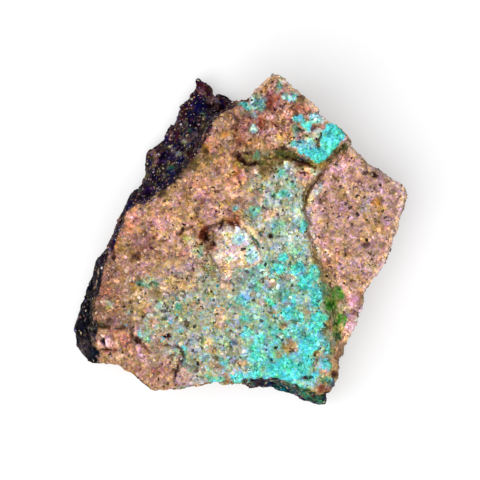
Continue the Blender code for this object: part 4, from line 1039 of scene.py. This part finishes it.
class NodeBench:
    """Adds nodes to one material and wires them together."""

    def __init__(self, name: str) -> None:
        """Makes an empty material with this name."""
        self.material = bpy.data.materials.new(name)
        self.material.use_nodes = True
        self.tree = self.material.node_tree
        self.shader = self.tree.nodes["Principled BSDF"]

    def add(
        self, kind: str, feeds: dict[str | int, object] | None = None, **choices: object
    ) -> bpy.types.Node:
        """Adds one node.

        Args:
            kind: The node's type.
            feeds: For each input, by name or number, the socket or the value that it takes.
            choices: The node's own settings.

        Returns:
            The new node.
        """
        node = self.tree.nodes.new(kind)
        for name, value in choices.items():
            setattr(node, name, value)
        for key, value in (feeds or {}).items():
            self.feed(node.inputs[key], value)
        return node

    def feed(self, socket: Socket, value: object) -> None:
        """Gives a socket its value, or links another socket to it."""
        if isinstance(value, Socket):
            self.tree.links.new(value, socket)
        else:
            socket.default_value = value

    def amount(self, zone: Zone) -> Socket:
        """The amount of a zone, as a socket."""
        return self.add("ShaderNodeAttribute", attribute_name=zone.value).outputs["Fac"]

    def skin_colour(self) -> Socket:
        """The colour that each point carries, as a socket."""
        return self.add("ShaderNodeAttribute", attribute_name=COLOUR_LAYER).outputs["Color"]

    def grey(self, value: Socket) -> Socket:
        """A number as a colour of three equal parts."""
        return self.add("ShaderNodeCombineXYZ", {0: value, 1: value, 2: value}).outputs[0]

    def maths(self, operation: str, *values: object) -> Socket:
        """One sum on numbers, as a socket."""
        return self.add("ShaderNodeMath", dict(enumerate(values)), operation=operation).outputs[0]

    def vectors(self, operation: str, *values: object) -> Socket:
        """One sum on colours or vectors, as a socket."""
        return self.add("ShaderNodeVectorMath", dict(enumerate(values)), operation=operation).outputs[0]

    def span(self, value: Socket, low: float, high: float, to: Span = (0.0, 1.0)) -> Socket:
        """A number mapped from one range onto another, and held there."""
        feeds = {"Value": value, "From Min": low, "From Max": high, "To Min": to[0], "To Max": to[1]}
        return self.add("ShaderNodeMapRange", feeds).outputs[0]

    def ramp(self, value: Socket, stops: Stops) -> Socket:
        """A palette read by a number, as a socket."""
        node = self.add("ShaderNodeValToRGB", {"Fac": value})
        marks = node.color_ramp.elements
        while len(marks) < len(stops):
            marks.new(1.0)
        for mark, (at, code) in zip(marks, stops):
            mark.position = at
            mark.color = (*linear(coded(code)), 1.0)
        return node.outputs[0]

    def mix(self, share: object, first: object, second: object, blend: str = "MIX") -> Socket:
        """Two colours mixed, as a socket."""
        node = self.add("ShaderNodeMix", data_type="RGBA", blend_type=blend)
        self.feed(node.inputs[0], share)
        self.feed(node.inputs[6], first)
        self.feed(node.inputs[7], second)
        return node.outputs[2]

    def noise(self, place: object, per_mm: float, detail: float = 2.0, rough: float = 0.5) -> bpy.types.Node:
        """A noise texture with this many swells to the millimetre."""
        feeds = {"Vector": place, "Scale": per_mm / MM, "Detail": detail, "Roughness": rough}
        return self.add("ShaderNodeTexNoise", feeds)

    def cells(self, place: object, width: float) -> bpy.types.Node:
        """A texture of cells of this width in millimetres."""
        return self.add("ShaderNodeTexVoronoi", {"Vector": place, "Scale": 1.0 / (width * MM)})

    def relief(self, height: Socket, strength: float, distance: float) -> None:
        """Wires a height into the shader's normal, as a bump of this many millimetres."""
        bump = self.add("ShaderNodeBump", {"Height": height, "Strength": strength, "Distance": distance * MM})
        self.tree.links.new(bump.outputs[0], self.shader.inputs["Normal"])


@dataclass(frozen=True)
class RockFinish:
    """The granular skin of the rock: each grain has its own tone on top of the painted colours."""

    grain: float = 0.52
    fine_grain: float = 0.3
    border_swells: float = 1.3
    border_wander: float = 0.45
    size_swells: float = 0.45
    grit_swells: float = 5.0
    grit_share: float = 0.6
    tilt_share: float = 0.7
    bump: Span = (0.75, 0.12)
    tones: Stops = (
        (0.0, "0c0c0c"), (0.035, "6c6c6c"), (0.1, "9a9a9a"), (0.3, "aeaeae"), (0.6, "bcbcbc"),
        (0.85, "cccccc"), (0.95, "e2e2e2"), (1.0, "ffffff"),
    )
    tone_gain: float = 1.95
    fine_tone: Span = (0.8, 1.22)
    coarse_hue: Triple = (0.08, 0.08, 0.5)
    fine_hue: Triple = (0.18, 0.14, 0.84)
    crust: Stops = (
        (0.0, "1c7870"), (0.1, "30a49a"), (0.35, "40c8c0"), (0.6, "50e0d8"), (0.88, "70f0ec"),
        (1.0, "b8faf6"),
    )
    crust_lead: float = 1.6
    crust_cover: Span = (0.5, 0.95)
    crust_share: float = 0.35
    flecks: float = 0.24
    fleck_cover: float = 0.55
    # The rind's specks: mineral colours, with near-white ones as painted glints.
    rind_specks_and_glints: Stops = ((0.0, "8c7458"), (0.3, "8c9070"), (0.5, "6c70ac"), (0.75, "a86c74"), (0.95, "e8e4ec"))
    rind_speck_share: float = 0.06
    rind_speck_cover: float = 0.5
    # Painted shade in the hollows: where it starts, how dark it gets, and its tints.
    hollow_shade_from: float = 0.56
    hollow_shade_cover: float = 0.8
    hollow_tint: Tint = (0.14, 0.09, 0.055, 1.0)
    crust_hollow_tint: Tint = (0.12, 0.5, 0.5, 1.0)
    roughness: Span = (0.3, 0.75)
    specular: float = 0.03

    def material(self) -> bpy.types.Material:
        """Builds the rock's material."""
        bench = NodeBench("rock_skin")
        place = bench.add("ShaderNodeTexCoord").outputs["Object"]
        warp = bench.noise(place, self.border_swells).outputs["Color"]
        warp = bench.vectors("SUBTRACT", warp, (0.5, 0.5, 0.5))
        moved = bench.vectors("MULTIPLY_ADD", warp, (self.border_wander * MM,) * 3, place)
        coarse, fine = bench.cells(moved, self.grain), bench.cells(moved, self.fine_grain)
        which = bench.span(bench.noise(place, self.size_swells).outputs["Fac"], 0.45, 0.55)
        pick = bench.mix(which, fine.outputs["Color"], coarse.outputs["Color"])
        parts = bench.add("ShaderNodeSeparateColor", {0: pick}).outputs
        other = bench.add("ShaderNodeSeparateColor", {0: fine.outputs["Color"]}).outputs
        colour = self._colour(bench, parts, other)
        colour = self._hued(bench, colour, coarse.outputs["Color"], self.coarse_hue)
        colour = self._hued(bench, colour, fine.outputs["Color"], self.fine_hue)
        bench.feed(bench.shader.inputs["Base Color"], self._hollow_shaded(bench, colour))
        bench.feed(bench.shader.inputs["Roughness"], bench.span(parts[2], 0.05, 0.35, self.roughness))
        bench.shader.inputs["Specular IOR Level"].default_value = self.specular
        domes = bench.mix(which, fine.outputs["Distance"], coarse.outputs["Distance"])
        grit = bench.noise(place, self.grit_swells, 3.0, 0.6).outputs["Fac"]
        grit = bench.maths("MULTIPLY", grit, self.grit_share)
        tilted = bench.maths("MULTIPLY_ADD", parts[1], self.tilt_share, grit)
        bench.relief(bench.maths("SUBTRACT", tilted, domes), *self.bump)
        return bench.material

    def _colour(self, bench: NodeBench, parts: Sockets, other: Sockets) -> Socket:
        """The painted colour with each grain's own tone, its crust and the specks of the rind, whose palest
        ones are painted glints.
        """
        tone = bench.vectors("MULTIPLY", bench.ramp(parts[0], self.tones), (self.tone_gain,) * 3)
        tone = bench.vectors("MULTIPLY", tone, bench.grey(bench.span(other[1], 0.0, 1.0, self.fine_tone)))
        colour = bench.vectors("MULTIPLY", bench.skin_colour(), tone)
        crust = bench.ramp(other[0], self.crust)
        amount = bench.amount(Zone.AJOITE)
        crusted = bench.span(self._lead(bench, amount, self.crust_lead, parts[1]), 0.0, 0.45)
        crusted = bench.maths("MULTIPLY", crusted, bench.span(amount, 0.0, 0.8, self.crust_cover))
        colour = bench.mix(crusted, colour, bench.mix(self.crust_share, colour, crust))
        fleck = self._lead(bench, bench.amount(Zone.HAZE), self.flecks, parts[1])
        colour = bench.mix(bench.span(fleck, 0.0, 0.12, (0.0, self.fleck_cover)), colour, crust)
        rind_speck = self._lead(bench, bench.amount(Zone.RIND), self.rind_speck_share, other[2])
        lit = bench.span(rind_speck, 0.0, 0.01, (0.0, self.rind_speck_cover))
        return bench.mix(lit, colour, bench.ramp(other[0], self.rind_specks_and_glints))

    def _lead(self, bench: NodeBench, amount: Socket, share: float, chance: Socket) -> Socket:
        """How far a share of a zone's amount is above a grain's chance number."""
        return bench.maths("SUBTRACT", bench.maths("MULTIPLY", amount, share), chance)

    def _hollow_shaded(self, bench: NodeBench, colour: Socket) -> Socket:
        """The colour with painted shade in the hollows, a teal shade where the crust is."""
        hollow_shade = bench.span(bench.amount(Zone.HOLLOW), self.hollow_shade_from, 1.0, (0.0, self.hollow_shade_cover))
        shade = bench.mix(bench.amount(Zone.AJOITE), self.hollow_tint, self.crust_hollow_tint)
        return bench.mix(hollow_shade, colour, bench.vectors("MULTIPLY", colour, shade))

    def _hued(self, bench: NodeBench, colour: Socket, chance: Socket, swing: Triple) -> Socket:
        """The colour with each of its parts raised or lowered by chance, which turns its hue."""
        factor = bench.vectors("MULTIPLY_ADD", chance, swing, tuple(1.0 - part / 2.0 for part in swing))
        return bench.vectors("MULTIPLY", colour, factor)


@dataclass(frozen=True)
class GrainFinish:
    """The surface of loose-standing grains, which carry their own colours."""

    name: str
    roughness: float
    specular: float
    bump: float
    bump_depth: float = 0.08
    flecks: float = 4.0
    tone_swing: float = 0.9
    roughness_swing: float = 0.12

    def material(self) -> bpy.types.Material:
        """Builds the grains' material."""
        bench = NodeBench(self.name)
        place = bench.add("ShaderNodeTexCoord").outputs["Object"]
        fleck = bench.noise(place, self.flecks, 3.0, 0.6)
        swing, least = (self.tone_swing,) * 3, (1.0 - self.tone_swing / 2.0,) * 3
        factor = bench.vectors("MULTIPLY_ADD", fleck.outputs["Color"], swing, least)
        bench.feed(bench.shader.inputs["Base Color"], bench.vectors("MULTIPLY", bench.skin_colour(), factor))
        rough = (self.roughness - self.roughness_swing, self.roughness + self.roughness_swing)
        bench.feed(bench.shader.inputs["Roughness"], bench.span(fleck.outputs["Fac"], 0.35, 0.65, rough))
        bench.shader.inputs["Specular IOR Level"].default_value = self.specular
        bench.relief(fleck.outputs["Fac"], self.bump, self.bump_depth)
        return bench.material


# the rock


def mesh_points(mesh: bpy.types.Mesh) -> tuple[np.ndarray, np.ndarray]:
    """Every point of a mesh in millimetres, and its normal."""
    count = len(mesh.vertices)
    places, normals = np.empty(count * 3), np.empty(count * 3)
    mesh.vertices.foreach_get("co", places)
    mesh.vertex_normals.foreach_get("vector", normals)
    return places.reshape(-1, 3) / MM, normals.reshape(-1, 3)


def keep_colours(mesh: bpy.types.Mesh, shown: np.ndarray) -> None:
    """Stores a colour for each point of a mesh, given as web colour values."""
    layer = mesh.color_attributes.new(name=COLOUR_LAYER, type="FLOAT_COLOR", domain="POINT")
    layer.data.foreach_set("color", np.column_stack([linear(shown), np.ones(len(shown))]).ravel())


def placed_piece(name: str, mesh: bpy.types.Mesh) -> bpy.types.Object:
    """Puts a finished mesh in the scene as a piece of the specimen.

    Args:
        name: The piece's name.
        mesh: Its mesh, already in place.

    Returns:
        The piece.
    """
    piece = bpy.data.objects.new(name, mesh)
    bpy.context.scene.collection.objects.link(piece)
    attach(piece, BODY)
    return piece


@dataclass
class RockSlab:
    """The rock itself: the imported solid's form, with a finely broken, granular skin."""

    painter: SkinPainter
    finish: RockFinish
    merge: float = 0.002
    pitch: float = 0.285
    soften_rounds: int = 7
    lumps: Ripple = Ripple(0.2, 2.3, 2.0)
    grit: Ripple = Ripple(0.12, 0.85, 9.0)
    chips: Ripple = Ripple(0.2, 1.7, 4.0)
    wall_chips: Ripple = Ripple(0.4, 3.2, 12.0)
    pits: Bloom = Bloom(0.35, 1.5, 19.0, 0.3, 0.62)
    face_share: float = 0.5
    slab_share: float = 0.6
    crust_rise: float = 0.12
    crust_swells: Ripple = Ripple(1.0, 0.7, 23.0)
    crater_depth: float = 0.5
    foot_height: float = 0.3
    hollow_rounds: int = 12
    hollow_depth: float = 0.22

    def build(self) -> bpy.types.Object:
        """Builds the rock.

        Returns:
            The finished piece.
        """
        mesh = self._even_skin()
        places, normals = mesh_points(mesh)
        places = self._nudged(places)
        skin = self.painter.skin(places, normals)
        moved = places + normals * self._relief(places, normals, skin)[:, None]
        moved[:, 2] = np.maximum(moved[:, 2], 0.0)
        mesh.vertices.foreach_set("co", (moved * MM).ravel())
        mesh.update()
        skin.zones[Zone.HOLLOW] = self._hollows(mesh, moved)
        for zone, amount in skin.zones.items():
            layer = mesh.attributes.new(zone.value, "FLOAT", "POINT")
            layer.data.foreach_set("value", amount.astype(np.float32))
        keep_colours(mesh, skin.shown)
        mesh.materials.clear()
        mesh.materials.append(self.finish.material())
        rock = placed_piece("granular_rock", mesh)
        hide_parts(NODE)
        return rock

    def _even_skin(self) -> bpy.types.Mesh:
        """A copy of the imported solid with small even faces, its flat cuts softened."""
        work = bmesh.new()
        work.from_mesh(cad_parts[NODE].data)
        bmesh.ops.remove_doubles(work, verts=work.verts, dist=self.merge * MM)
        plain = bpy.data.meshes.new("plain")
        work.to_mesh(plain)
        work.free()
        holder = bpy.data.objects.new("holder", plain)
        bpy.context.scene.collection.objects.link(holder)
        remesh = holder.modifiers.new("even", "REMESH")
        remesh.mode = "VOXEL"
        remesh.voxel_size = self.pitch * MM
        graph = bpy.context.evaluated_depsgraph_get()
        even = bpy.data.meshes.new_from_object(holder.evaluated_get(graph))
        bpy.data.objects.remove(holder)
        bpy.data.meshes.remove(plain)
        work = bmesh.new()
        work.from_mesh(even)
        for _ in range(self.soften_rounds):
            bmesh.ops.smooth_vert(
                work, verts=work.verts, factor=0.5, use_axis_x=True, use_axis_y=True, use_axis_z=True
            )
        bmesh.ops.triangulate(work, faces=work.faces)
        work.to_mesh(even)
        work.free()
        even.name = "granular_rock"
        return even

    def _nudged(self, places: np.ndarray) -> np.ndarray:
        """The points, moved sideways where the broken edges stand a little off the solid's."""
        spots = self.painter.plan.spots(places)
        for nudge in NUDGES:
            places = places + nudge.moves(spots)
        return places

    def _relief(self, places: np.ndarray, normals: np.ndarray, skin: Skin) -> np.ndarray:
        """How far each point moves along its normal, in millimetres.

        Args:
            places: The skin's points.
            normals: Their normals.
            skin: What the skin carries there.

        Returns:
            One distance for each point, positive outwards.
        """
        spots = self.painter.plan.spots(places)
        move = self.lumps.swells(places) + self.grit.swells(places) + self.chips.chips(places)
        move += self.wall_chips.chips(places, 1.0 - skin.level)
        move -= self.pits.amount(places)
        move *= 1.0 - (1.0 - self.face_share) * skin.level
        move *= 1.0 - (1.0 - self.slab_share) * SLAB.amount(spots) * skin.level
        move += self.crust_rise * skin.zones[Zone.AJOITE] * (0.6 + self.crust_swells.swells(places))
        move -= self.crater_depth * CRATER.amount(spots) * skin.level
        for crack in CRACKS:
            move -= crack.depth * crack.cut(spots) * skin.level
        on_foot = eased(-0.9, -0.98, normals[:, 2]) * (places[:, 2] < self.foot_height)
        return move * (1.0 - on_foot)

    def _hollows(self, mesh: bpy.types.Mesh, places: np.ndarray) -> np.ndarray:
        """How sunken each point is among its neighbours, from 0 on a crest to 1 in a pit."""
        edges = np.empty(len(mesh.edges) * 2, np.int64)
        mesh.edges.foreach_get("vertices", edges)
        edges = edges.reshape(-1, 2)
        count = np.bincount(edges.ravel(), minlength=len(places))[:, None]
        smooth = places.copy()
        for _ in range(self.hollow_rounds):
            total = np.zeros_like(smooth)
            np.add.at(total, edges[:, 0], smooth[edges[:, 1]])
            np.add.at(total, edges[:, 1], smooth[edges[:, 0]])
            smooth = 0.5 * smooth + 0.5 * total / np.maximum(count, 1)
        sunk = ((smooth - places) * mesh_points(mesh)[1]).sum(axis=1)
        # The hollows' amount carries painted shade; it is kept faint in the crater and on the step.
        quiet = 1.0 - 0.8 * strongest((CRATER, STEP_STAIN_AND_LIGHT), self.painter.plan.spots(places))
        return quiet * np.clip(0.5 + sunk / self.hollow_depth, 0.0, 1.0)


# grains on the rock


class Habit(Enum):
    """The shapes that grains take, by how far chance moves their corners."""

    CLEAVED = 0.16
    LUMPY = 0.26
    ROUNDED = 0.1


def grain_shape(habit: Habit, draw: np.random.Generator) -> tuple[np.ndarray, np.ndarray]:
    """The corners and triangles of one grain about one unit in radius.

    Args:
        habit: The grain's shape.
        draw: Where its chance comes from.

    Returns:
        The corners, and three of their numbers for each triangle.
    """
    work = bmesh.new()
    if habit is Habit.CLEAVED:
        bmesh.ops.create_cube(work, size=1.5)
    else:
        bmesh.ops.create_icosphere(work, subdivisions=1, radius=1.0)
    bmesh.ops.triangulate(work, faces=work.faces)
    corners = np.array([corner.co for corner in work.verts])
    faces = np.array([[corner.index for corner in face.verts] for face in work.faces])
    work.free()
    return corners + draw.uniform(-habit.value, habit.value, corners.shape), faces


def chance_turns(count: int, draw: np.random.Generator) -> np.ndarray:
    """A rotation matrix turned any way, for each of a number of grains."""
    quarter = draw.normal(size=(count, 4))
    w, x, y, z = (quarter / np.linalg.norm(quarter, axis=1)[:, None]).T
    rows = (
        (1 - 2 * (y * y + z * z), 2 * (x * y - z * w), 2 * (x * z + y * w)),
        (2 * (x * y + z * w), 1 - 2 * (x * x + z * z), 2 * (y * z - x * w)),
        (2 * (x * z - y * w), 2 * (y * z + x * w), 1 - 2 * (x * x + y * y)),
    )
    return np.array(rows).transpose(2, 0, 1)


@dataclass
class GrainCoat:
    """Crystal grains that stand out of the rock's skin, joined in one mesh."""

    painter: SkinPainter
    name: str
    slot: str
    finish: GrainFinish
    habits: tuple[Habit, ...]
    spacing: float
    radius: Span
    sunk: float
    flatness: Span
    seed: int
    smooth: bool = False
    crowding: float = 2.5
    shapes_each: int = 4

    def build(self, rock: bpy.types.Object) -> bpy.types.Object:
        """Builds the grains.

        Args:
            rock: The rock that they stand on.

        Returns:
            The finished piece.
        """
        draw = np.random.default_rng(self.seed)
        spots, normals = self._spread(rock.data, draw)
        skin = self.painter.skin(spots, normals)
        kept = draw.random(len(spots)) < self.density(skin, spots)
        spots, normals = spots[kept], normals[kept]
        zones = {zone: amount[kept] for zone, amount in skin.zones.items()}
        skin = Skin(zones, skin.shown[kept], skin.level[kept])
        shown = self.colours(skin, spots, draw)
        mesh = self._joined(spots, normals, shown, draw)
        mesh.materials.append(self.finish.material())
        return placed_piece(self.name, mesh)

    def density(self, skin: Skin, spots: np.ndarray) -> np.ndarray:
        """The share of the places that take a grain, at each spot."""
        raise NotImplementedError

    def colours(self, skin: Skin, spots: np.ndarray, draw: np.random.Generator) -> np.ndarray:
        """The web colour values of each grain."""
        raise NotImplementedError

    def _spread(self, mesh: bpy.types.Mesh, draw: np.random.Generator) -> tuple[np.ndarray, np.ndarray]:
        """Places all over the rock, one to each cube of the spacing's size, and the normals there."""
        places, normals = mesh_points(mesh)
        triangles = np.empty(len(mesh.polygons) * 3, np.int64)
        mesh.polygons.foreach_get("vertices", triangles)
        triangles = triangles.reshape(-1, 3)
        a, b, c = (places[triangles[:, at]] for at in range(3))
        area = np.linalg.norm(np.cross(b - a, c - a), axis=1) / 2.0
        count = int(self.crowding * area.sum() / self.spacing**2)
        picked = draw.choice(len(triangles), count, p=area / area.sum())
        share = draw.dirichlet((1.0, 1.0, 1.0), count)
        spots = (places[triangles[picked]] * share[:, :, None]).sum(axis=1)
        facing = normals[triangles[picked]].sum(axis=1)
        facing /= np.linalg.norm(facing, axis=1)[:, None]
        cells = np.floor(spots / self.spacing).astype(np.int64)
        first = np.unique(cells, axis=0, return_index=True)[1]
        clear = first[spots[first][:, 2] > 1.2 * self.radius[1]]
        return spots[clear], facing[clear]

    def _joined(
        self, spots: np.ndarray, normals: np.ndarray, shown: np.ndarray, draw: np.random.Generator
    ) -> bpy.types.Mesh:
        """One mesh of all the grains, each sunk in the rock, turned and sized by chance."""
        shapes = [grain_shape(habit, draw) for habit in self.habits for _ in range(self.shapes_each)]
        size = self.radius[0] + (self.radius[1] - self.radius[0]) * draw.random(len(spots)) ** 1.6
        stretch = size[:, None] * draw.uniform(0.75, 1.25, (len(spots), 3))
        turns = chance_turns(len(spots), draw) * stretch[:, None, :]
        flat = draw.uniform(*self.flatness, len(spots))
        turns -= (1.0 - flat)[:, None, None] * normals[:, :, None] * (normals[:, None, :] @ turns)
        centres = spots + normals * (size * flat * (1.0 - 2.0 * self.sunk))[:, None]
        pick = draw.integers(len(shapes), size=len(spots))
        corners, faces, colours, start = [], [], [], 0
        for at, (shape, triangles) in enumerate(shapes):
            chosen = np.flatnonzero(pick == at)
            made = shape[None] @ turns[chosen].transpose(0, 2, 1) + centres[chosen][:, None]
            first = start + np.arange(len(chosen))[:, None, None] * len(shape)
            corners.append(made.reshape(-1, 3))
            faces.append((triangles[None] + first).reshape(-1, 3))
            colours.append(np.repeat(shown[chosen], len(shape), axis=0))
            start += len(chosen) * len(shape)
        mesh = bpy.data.meshes.new(self.name)
        mesh.from_pydata(np.concatenate(corners) * MM, [], np.concatenate(faces))
        mesh.polygons.foreach_set("use_smooth", np.full(len(mesh.polygons), self.smooth))
        keep_colours(mesh, np.concatenate(colours))
        return mesh


@dataclass
class FeldsparGrains(GrainCoat):
    """Pink and tan feldspar, pale quartz and dark mica, in the tones of the rock around them."""

    name: str = "feldspar_grains"
    slot: str = ROCK_SLOT
    finish: GrainFinish = GrainFinish("feldspar", roughness=0.5, specular=0.25, bump=0.4)
    habits: tuple[Habit, ...] = (Habit.CLEAVED, Habit.LUMPY)
    spacing: float = 0.72
    radius: Span = (0.16, 0.38)
    sunk: float = 0.74
    flatness: Span = (0.5, 1.0)
    seed: int = 11
    pale: str = "f0dccb"
    pale_above: float = 0.92
    dark: str = "2a1a16"
    dark_below: float = 0.05

    def density(self, skin: Skin, spots: np.ndarray) -> np.ndarray:
        """Thick on bare rock, thin on the crust and the rind."""
        bare = 1.0 - 0.85 * eased(0.2, 0.8, skin.zones[Zone.AJOITE])
        return 0.8 * bare * (1.0 - 0.88 * skin.zones[Zone.RIND])

    def colours(self, skin: Skin, spots: np.ndarray, draw: np.random.Generator) -> np.ndarray:
        """The rock's colour, lighter or darker by chance, with a few pale and a few dark grains."""
        count = len(spots)
        shown = skin.shown * draw.uniform(0.82, 1.15, (count, 1))
        shown = shown * draw.uniform((0.98, 0.98, 0.9), (1.02, 1.02, 1.1), (count, 3))
        kind = draw.random(count)
        bare = 1.0 - skin.zones[Zone.RIND]
        shown = laid(shown, coded(self.pale), 0.5 * bare * (kind > self.pale_above))
        dark = (kind < self.dark_below) * (skin.shown.mean(axis=1) < 0.75)
        return laid(shown, coded(self.dark), 0.7 * dark)


@dataclass
class AjoiteNodules(GrainCoat):
    """The blue-green crust: small rounded nodules packed side by side."""

    name: str = "ajoite_nodules"
    slot: str = CRUST_SLOT
    finish: GrainFinish = GrainFinish("ajoite", roughness=0.6, specular=0.2, bump=0.5)
    habits: tuple[Habit, ...] = (Habit.ROUNDED,)
    spacing: float = 0.44
    radius: Span = (0.16, 0.34)
    sunk: float = 0.76
    flatness: Span = (0.5, 0.9)
    seed: int = 23
    smooth: bool = True
    crust: Mottle = Mottle(
        0.9, 51.0, ("23867c", "3cbcb0", "2fa8a4", "58e0d8", "44d0c4", "7cf0ea", "4cd8d2", "b4f6ee")
    )

    def density(self, skin: Skin, spots: np.ndarray) -> np.ndarray:
        """Thick where the crust is, none elsewhere."""
        return eased(0.3, 0.8, skin.zones[Zone.AJOITE])

    def colours(self, skin: Skin, spots: np.ndarray, draw: np.random.Generator) -> np.ndarray:
        """Turquoise, deeper or paler from place to place and from nodule to nodule."""
        shown = laid(skin.shown, self.crust.at(spots), np.full(len(spots), 0.35))
        return shown * draw.uniform(0.88, 1.1, (len(spots), 1)) * draw.uniform(0.96, 1.04, (len(spots), 3))


@dataclass
class RindCrystalsAndGlints(GrainCoat):
    """Small crystal grains on the dark rind, in mineral colours; the pale grey and white ones are painted
    glints.
    """

    name: str = "rind_crystals"
    slot: str = ROCK_SLOT
    finish: GrainFinish = GrainFinish("rind_crystal", roughness=0.35, specular=0.5, bump=0.3)
    habits: tuple[Habit, ...] = (Habit.CLEAVED, Habit.LUMPY)
    spacing: float = 0.8
    radius: Span = (0.08, 0.22)
    sunk: float = 0.6
    flatness: Span = (0.6, 1.0)
    seed: int = 37
    palette: Palette = ("946c6c", "9c9a70", "d8d4e0", "5c5494", "a07054", "ffffff")
    shares: tuple[float, ...] = (0.26, 0.22, 0.1, 0.18, 0.2, 0.04)

    def density(self, skin: Skin, spots: np.ndarray) -> np.ndarray:
        """A few all over the rind, fewer towards its far left, and none elsewhere."""
        lit = 0.3 + 0.7 * eased(-23.0, -19.0, spots[:, 0])
        return 0.5 * lit * eased(0.5, 0.9, skin.zones[Zone.RIND]) * (0.35 + 0.65 * skin.level)

    def colours(self, skin: Skin, spots: np.ndarray, draw: np.random.Generator) -> np.ndarray:
        """Rose, sage, grey, violet, brown and a little white, by chance; the pale grey and white are painted
        glints.
        """
        marks = np.array([coded(code) for code in self.palette])
        return marks[draw.choice(len(marks), len(spots), p=self.shares)]


# the studio


@dataclass(frozen=True)
class SoftLight:
    """A square soft light that faces the specimen: its place and side in metres, its power in watts."""

    name: str
    place: Triple
    side: float
    power: float

    def build(self) -> None:
        """Adds the light."""
        light = bpy.data.lights.new(self.name, "AREA")
        light.size = self.side
        light.energy = self.power
        lamp = bpy.data.objects.new(self.name, light)
        lamp.location = self.place
        lamp.rotation_euler = (-Vector(self.place)).to_track_quat("-Z", "Y").to_euler()
        bpy.context.scene.collection.objects.link(lamp)


@dataclass
class Studio:
    """A pale floor, soft light from the lower left and a camera over the face."""

    plan: FacePlan
    lens: float = 200.0
    sensor: float = 36.0
    seen: float = 76.8
    floor_size: float = 3000.0
    sky: float = 0.38
    floor_tint: Tint = (0.53, 0.53, 0.535, 1.0)
    floor_glow: float = 0.43
    lights: tuple[SoftLight, ...] = (
        SoftLight("key", (-0.31, -0.25, 0.7), side=0.75, power=5.7),
        SoftLight("fill", (-0.15, -0.25, 0.75), side=0.8, power=2.0),
    )

    def build(self) -> None:
        """Sets up the floor, the lights, the world and the camera."""
        self._floor()
        self._camera()
        for light in self.lights:
            light.build()
        world = bpy.data.worlds.new("studio")
        world.use_nodes = True
        backdrop = world.node_tree.nodes["Background"]
        backdrop.inputs["Color"].default_value = WHITE
        backdrop.inputs["Strength"].default_value = self.sky
        bpy.context.scene.world = world
        bpy.context.scene.view_settings.view_transform = "Standard"

    def _floor(self) -> None:
        """The floor that the rock lies on."""
        work = bmesh.new()
        bmesh.ops.create_grid(work, x_segments=1, y_segments=1, size=self.floor_size * MM / 2.0)
        mesh = bpy.data.meshes.new("floor")
        work.to_mesh(mesh)
        work.free()
        bench = NodeBench("floor_card")
        inputs = bench.shader.inputs
        inputs["Base Color"].default_value = self.floor_tint
        inputs["Roughness"].default_value = 0.9
        inputs["Emission Color"].default_value = WHITE
        inputs["Emission Strength"].default_value = self.floor_glow
        mesh.materials.append(bench.material)
        floor = bpy.data.objects.new("floor", mesh)
        bpy.context.scene.collection.objects.link(floor)

    def _camera(self) -> None:
        """The camera: nearly overhead, tipped a little towards the lower left."""
        tip, heading = math.radians(self.plan.lean_deg), math.radians(self.plan.heading_deg)
        back = Vector((-math.cos(heading) * math.sin(tip), -math.sin(heading) * math.sin(tip), math.cos(tip)))
        right = Vector((0.0, 1.0, 0.0)).cross(back).normalized()
        up = back.cross(right)
        distance = self.seen * MM * self.lens / self.sensor
        camera = bpy.data.cameras.new("camera")
        camera.lens = self.lens
        camera.sensor_width = self.sensor
        camera.clip_start = 0.01
        holder = bpy.data.objects.new("camera", camera)
        turned = Matrix((right, up, back)).transposed().to_4x4()
        holder.matrix_world = Matrix.Translation(self.plan.centre() + back * distance) @ turned
        bpy.context.scene.collection.objects.link(holder)
        bpy.context.scene.camera = holder


def corners(box: object) -> list[list[float]]:
    """The two corners of a box as plain lists."""
    return [[float(number) for number in corner] for corner in box]


def main() -> None:
    """Builds the studio and the specimen, and logs the faces of each piece."""
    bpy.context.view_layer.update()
    plan = FacePlan()
    painter = SkinPainter(plan)
    Studio(plan).build()
    rock = RockSlab(painter, RockFinish()).build()
    coats = (FeldsparGrains(painter), AjoiteNodules(painter), RindCrystalsAndGlints(painter))
    pieces = [rock, *(coat.build(rock) for coat in coats)]
    for piece in pieces:
        LOG.info("%s: %d faces", piece.name, len(piece.data.polygons))


if __name__ == "__main__":
    logging.basicConfig(level=logging.INFO)
    main()
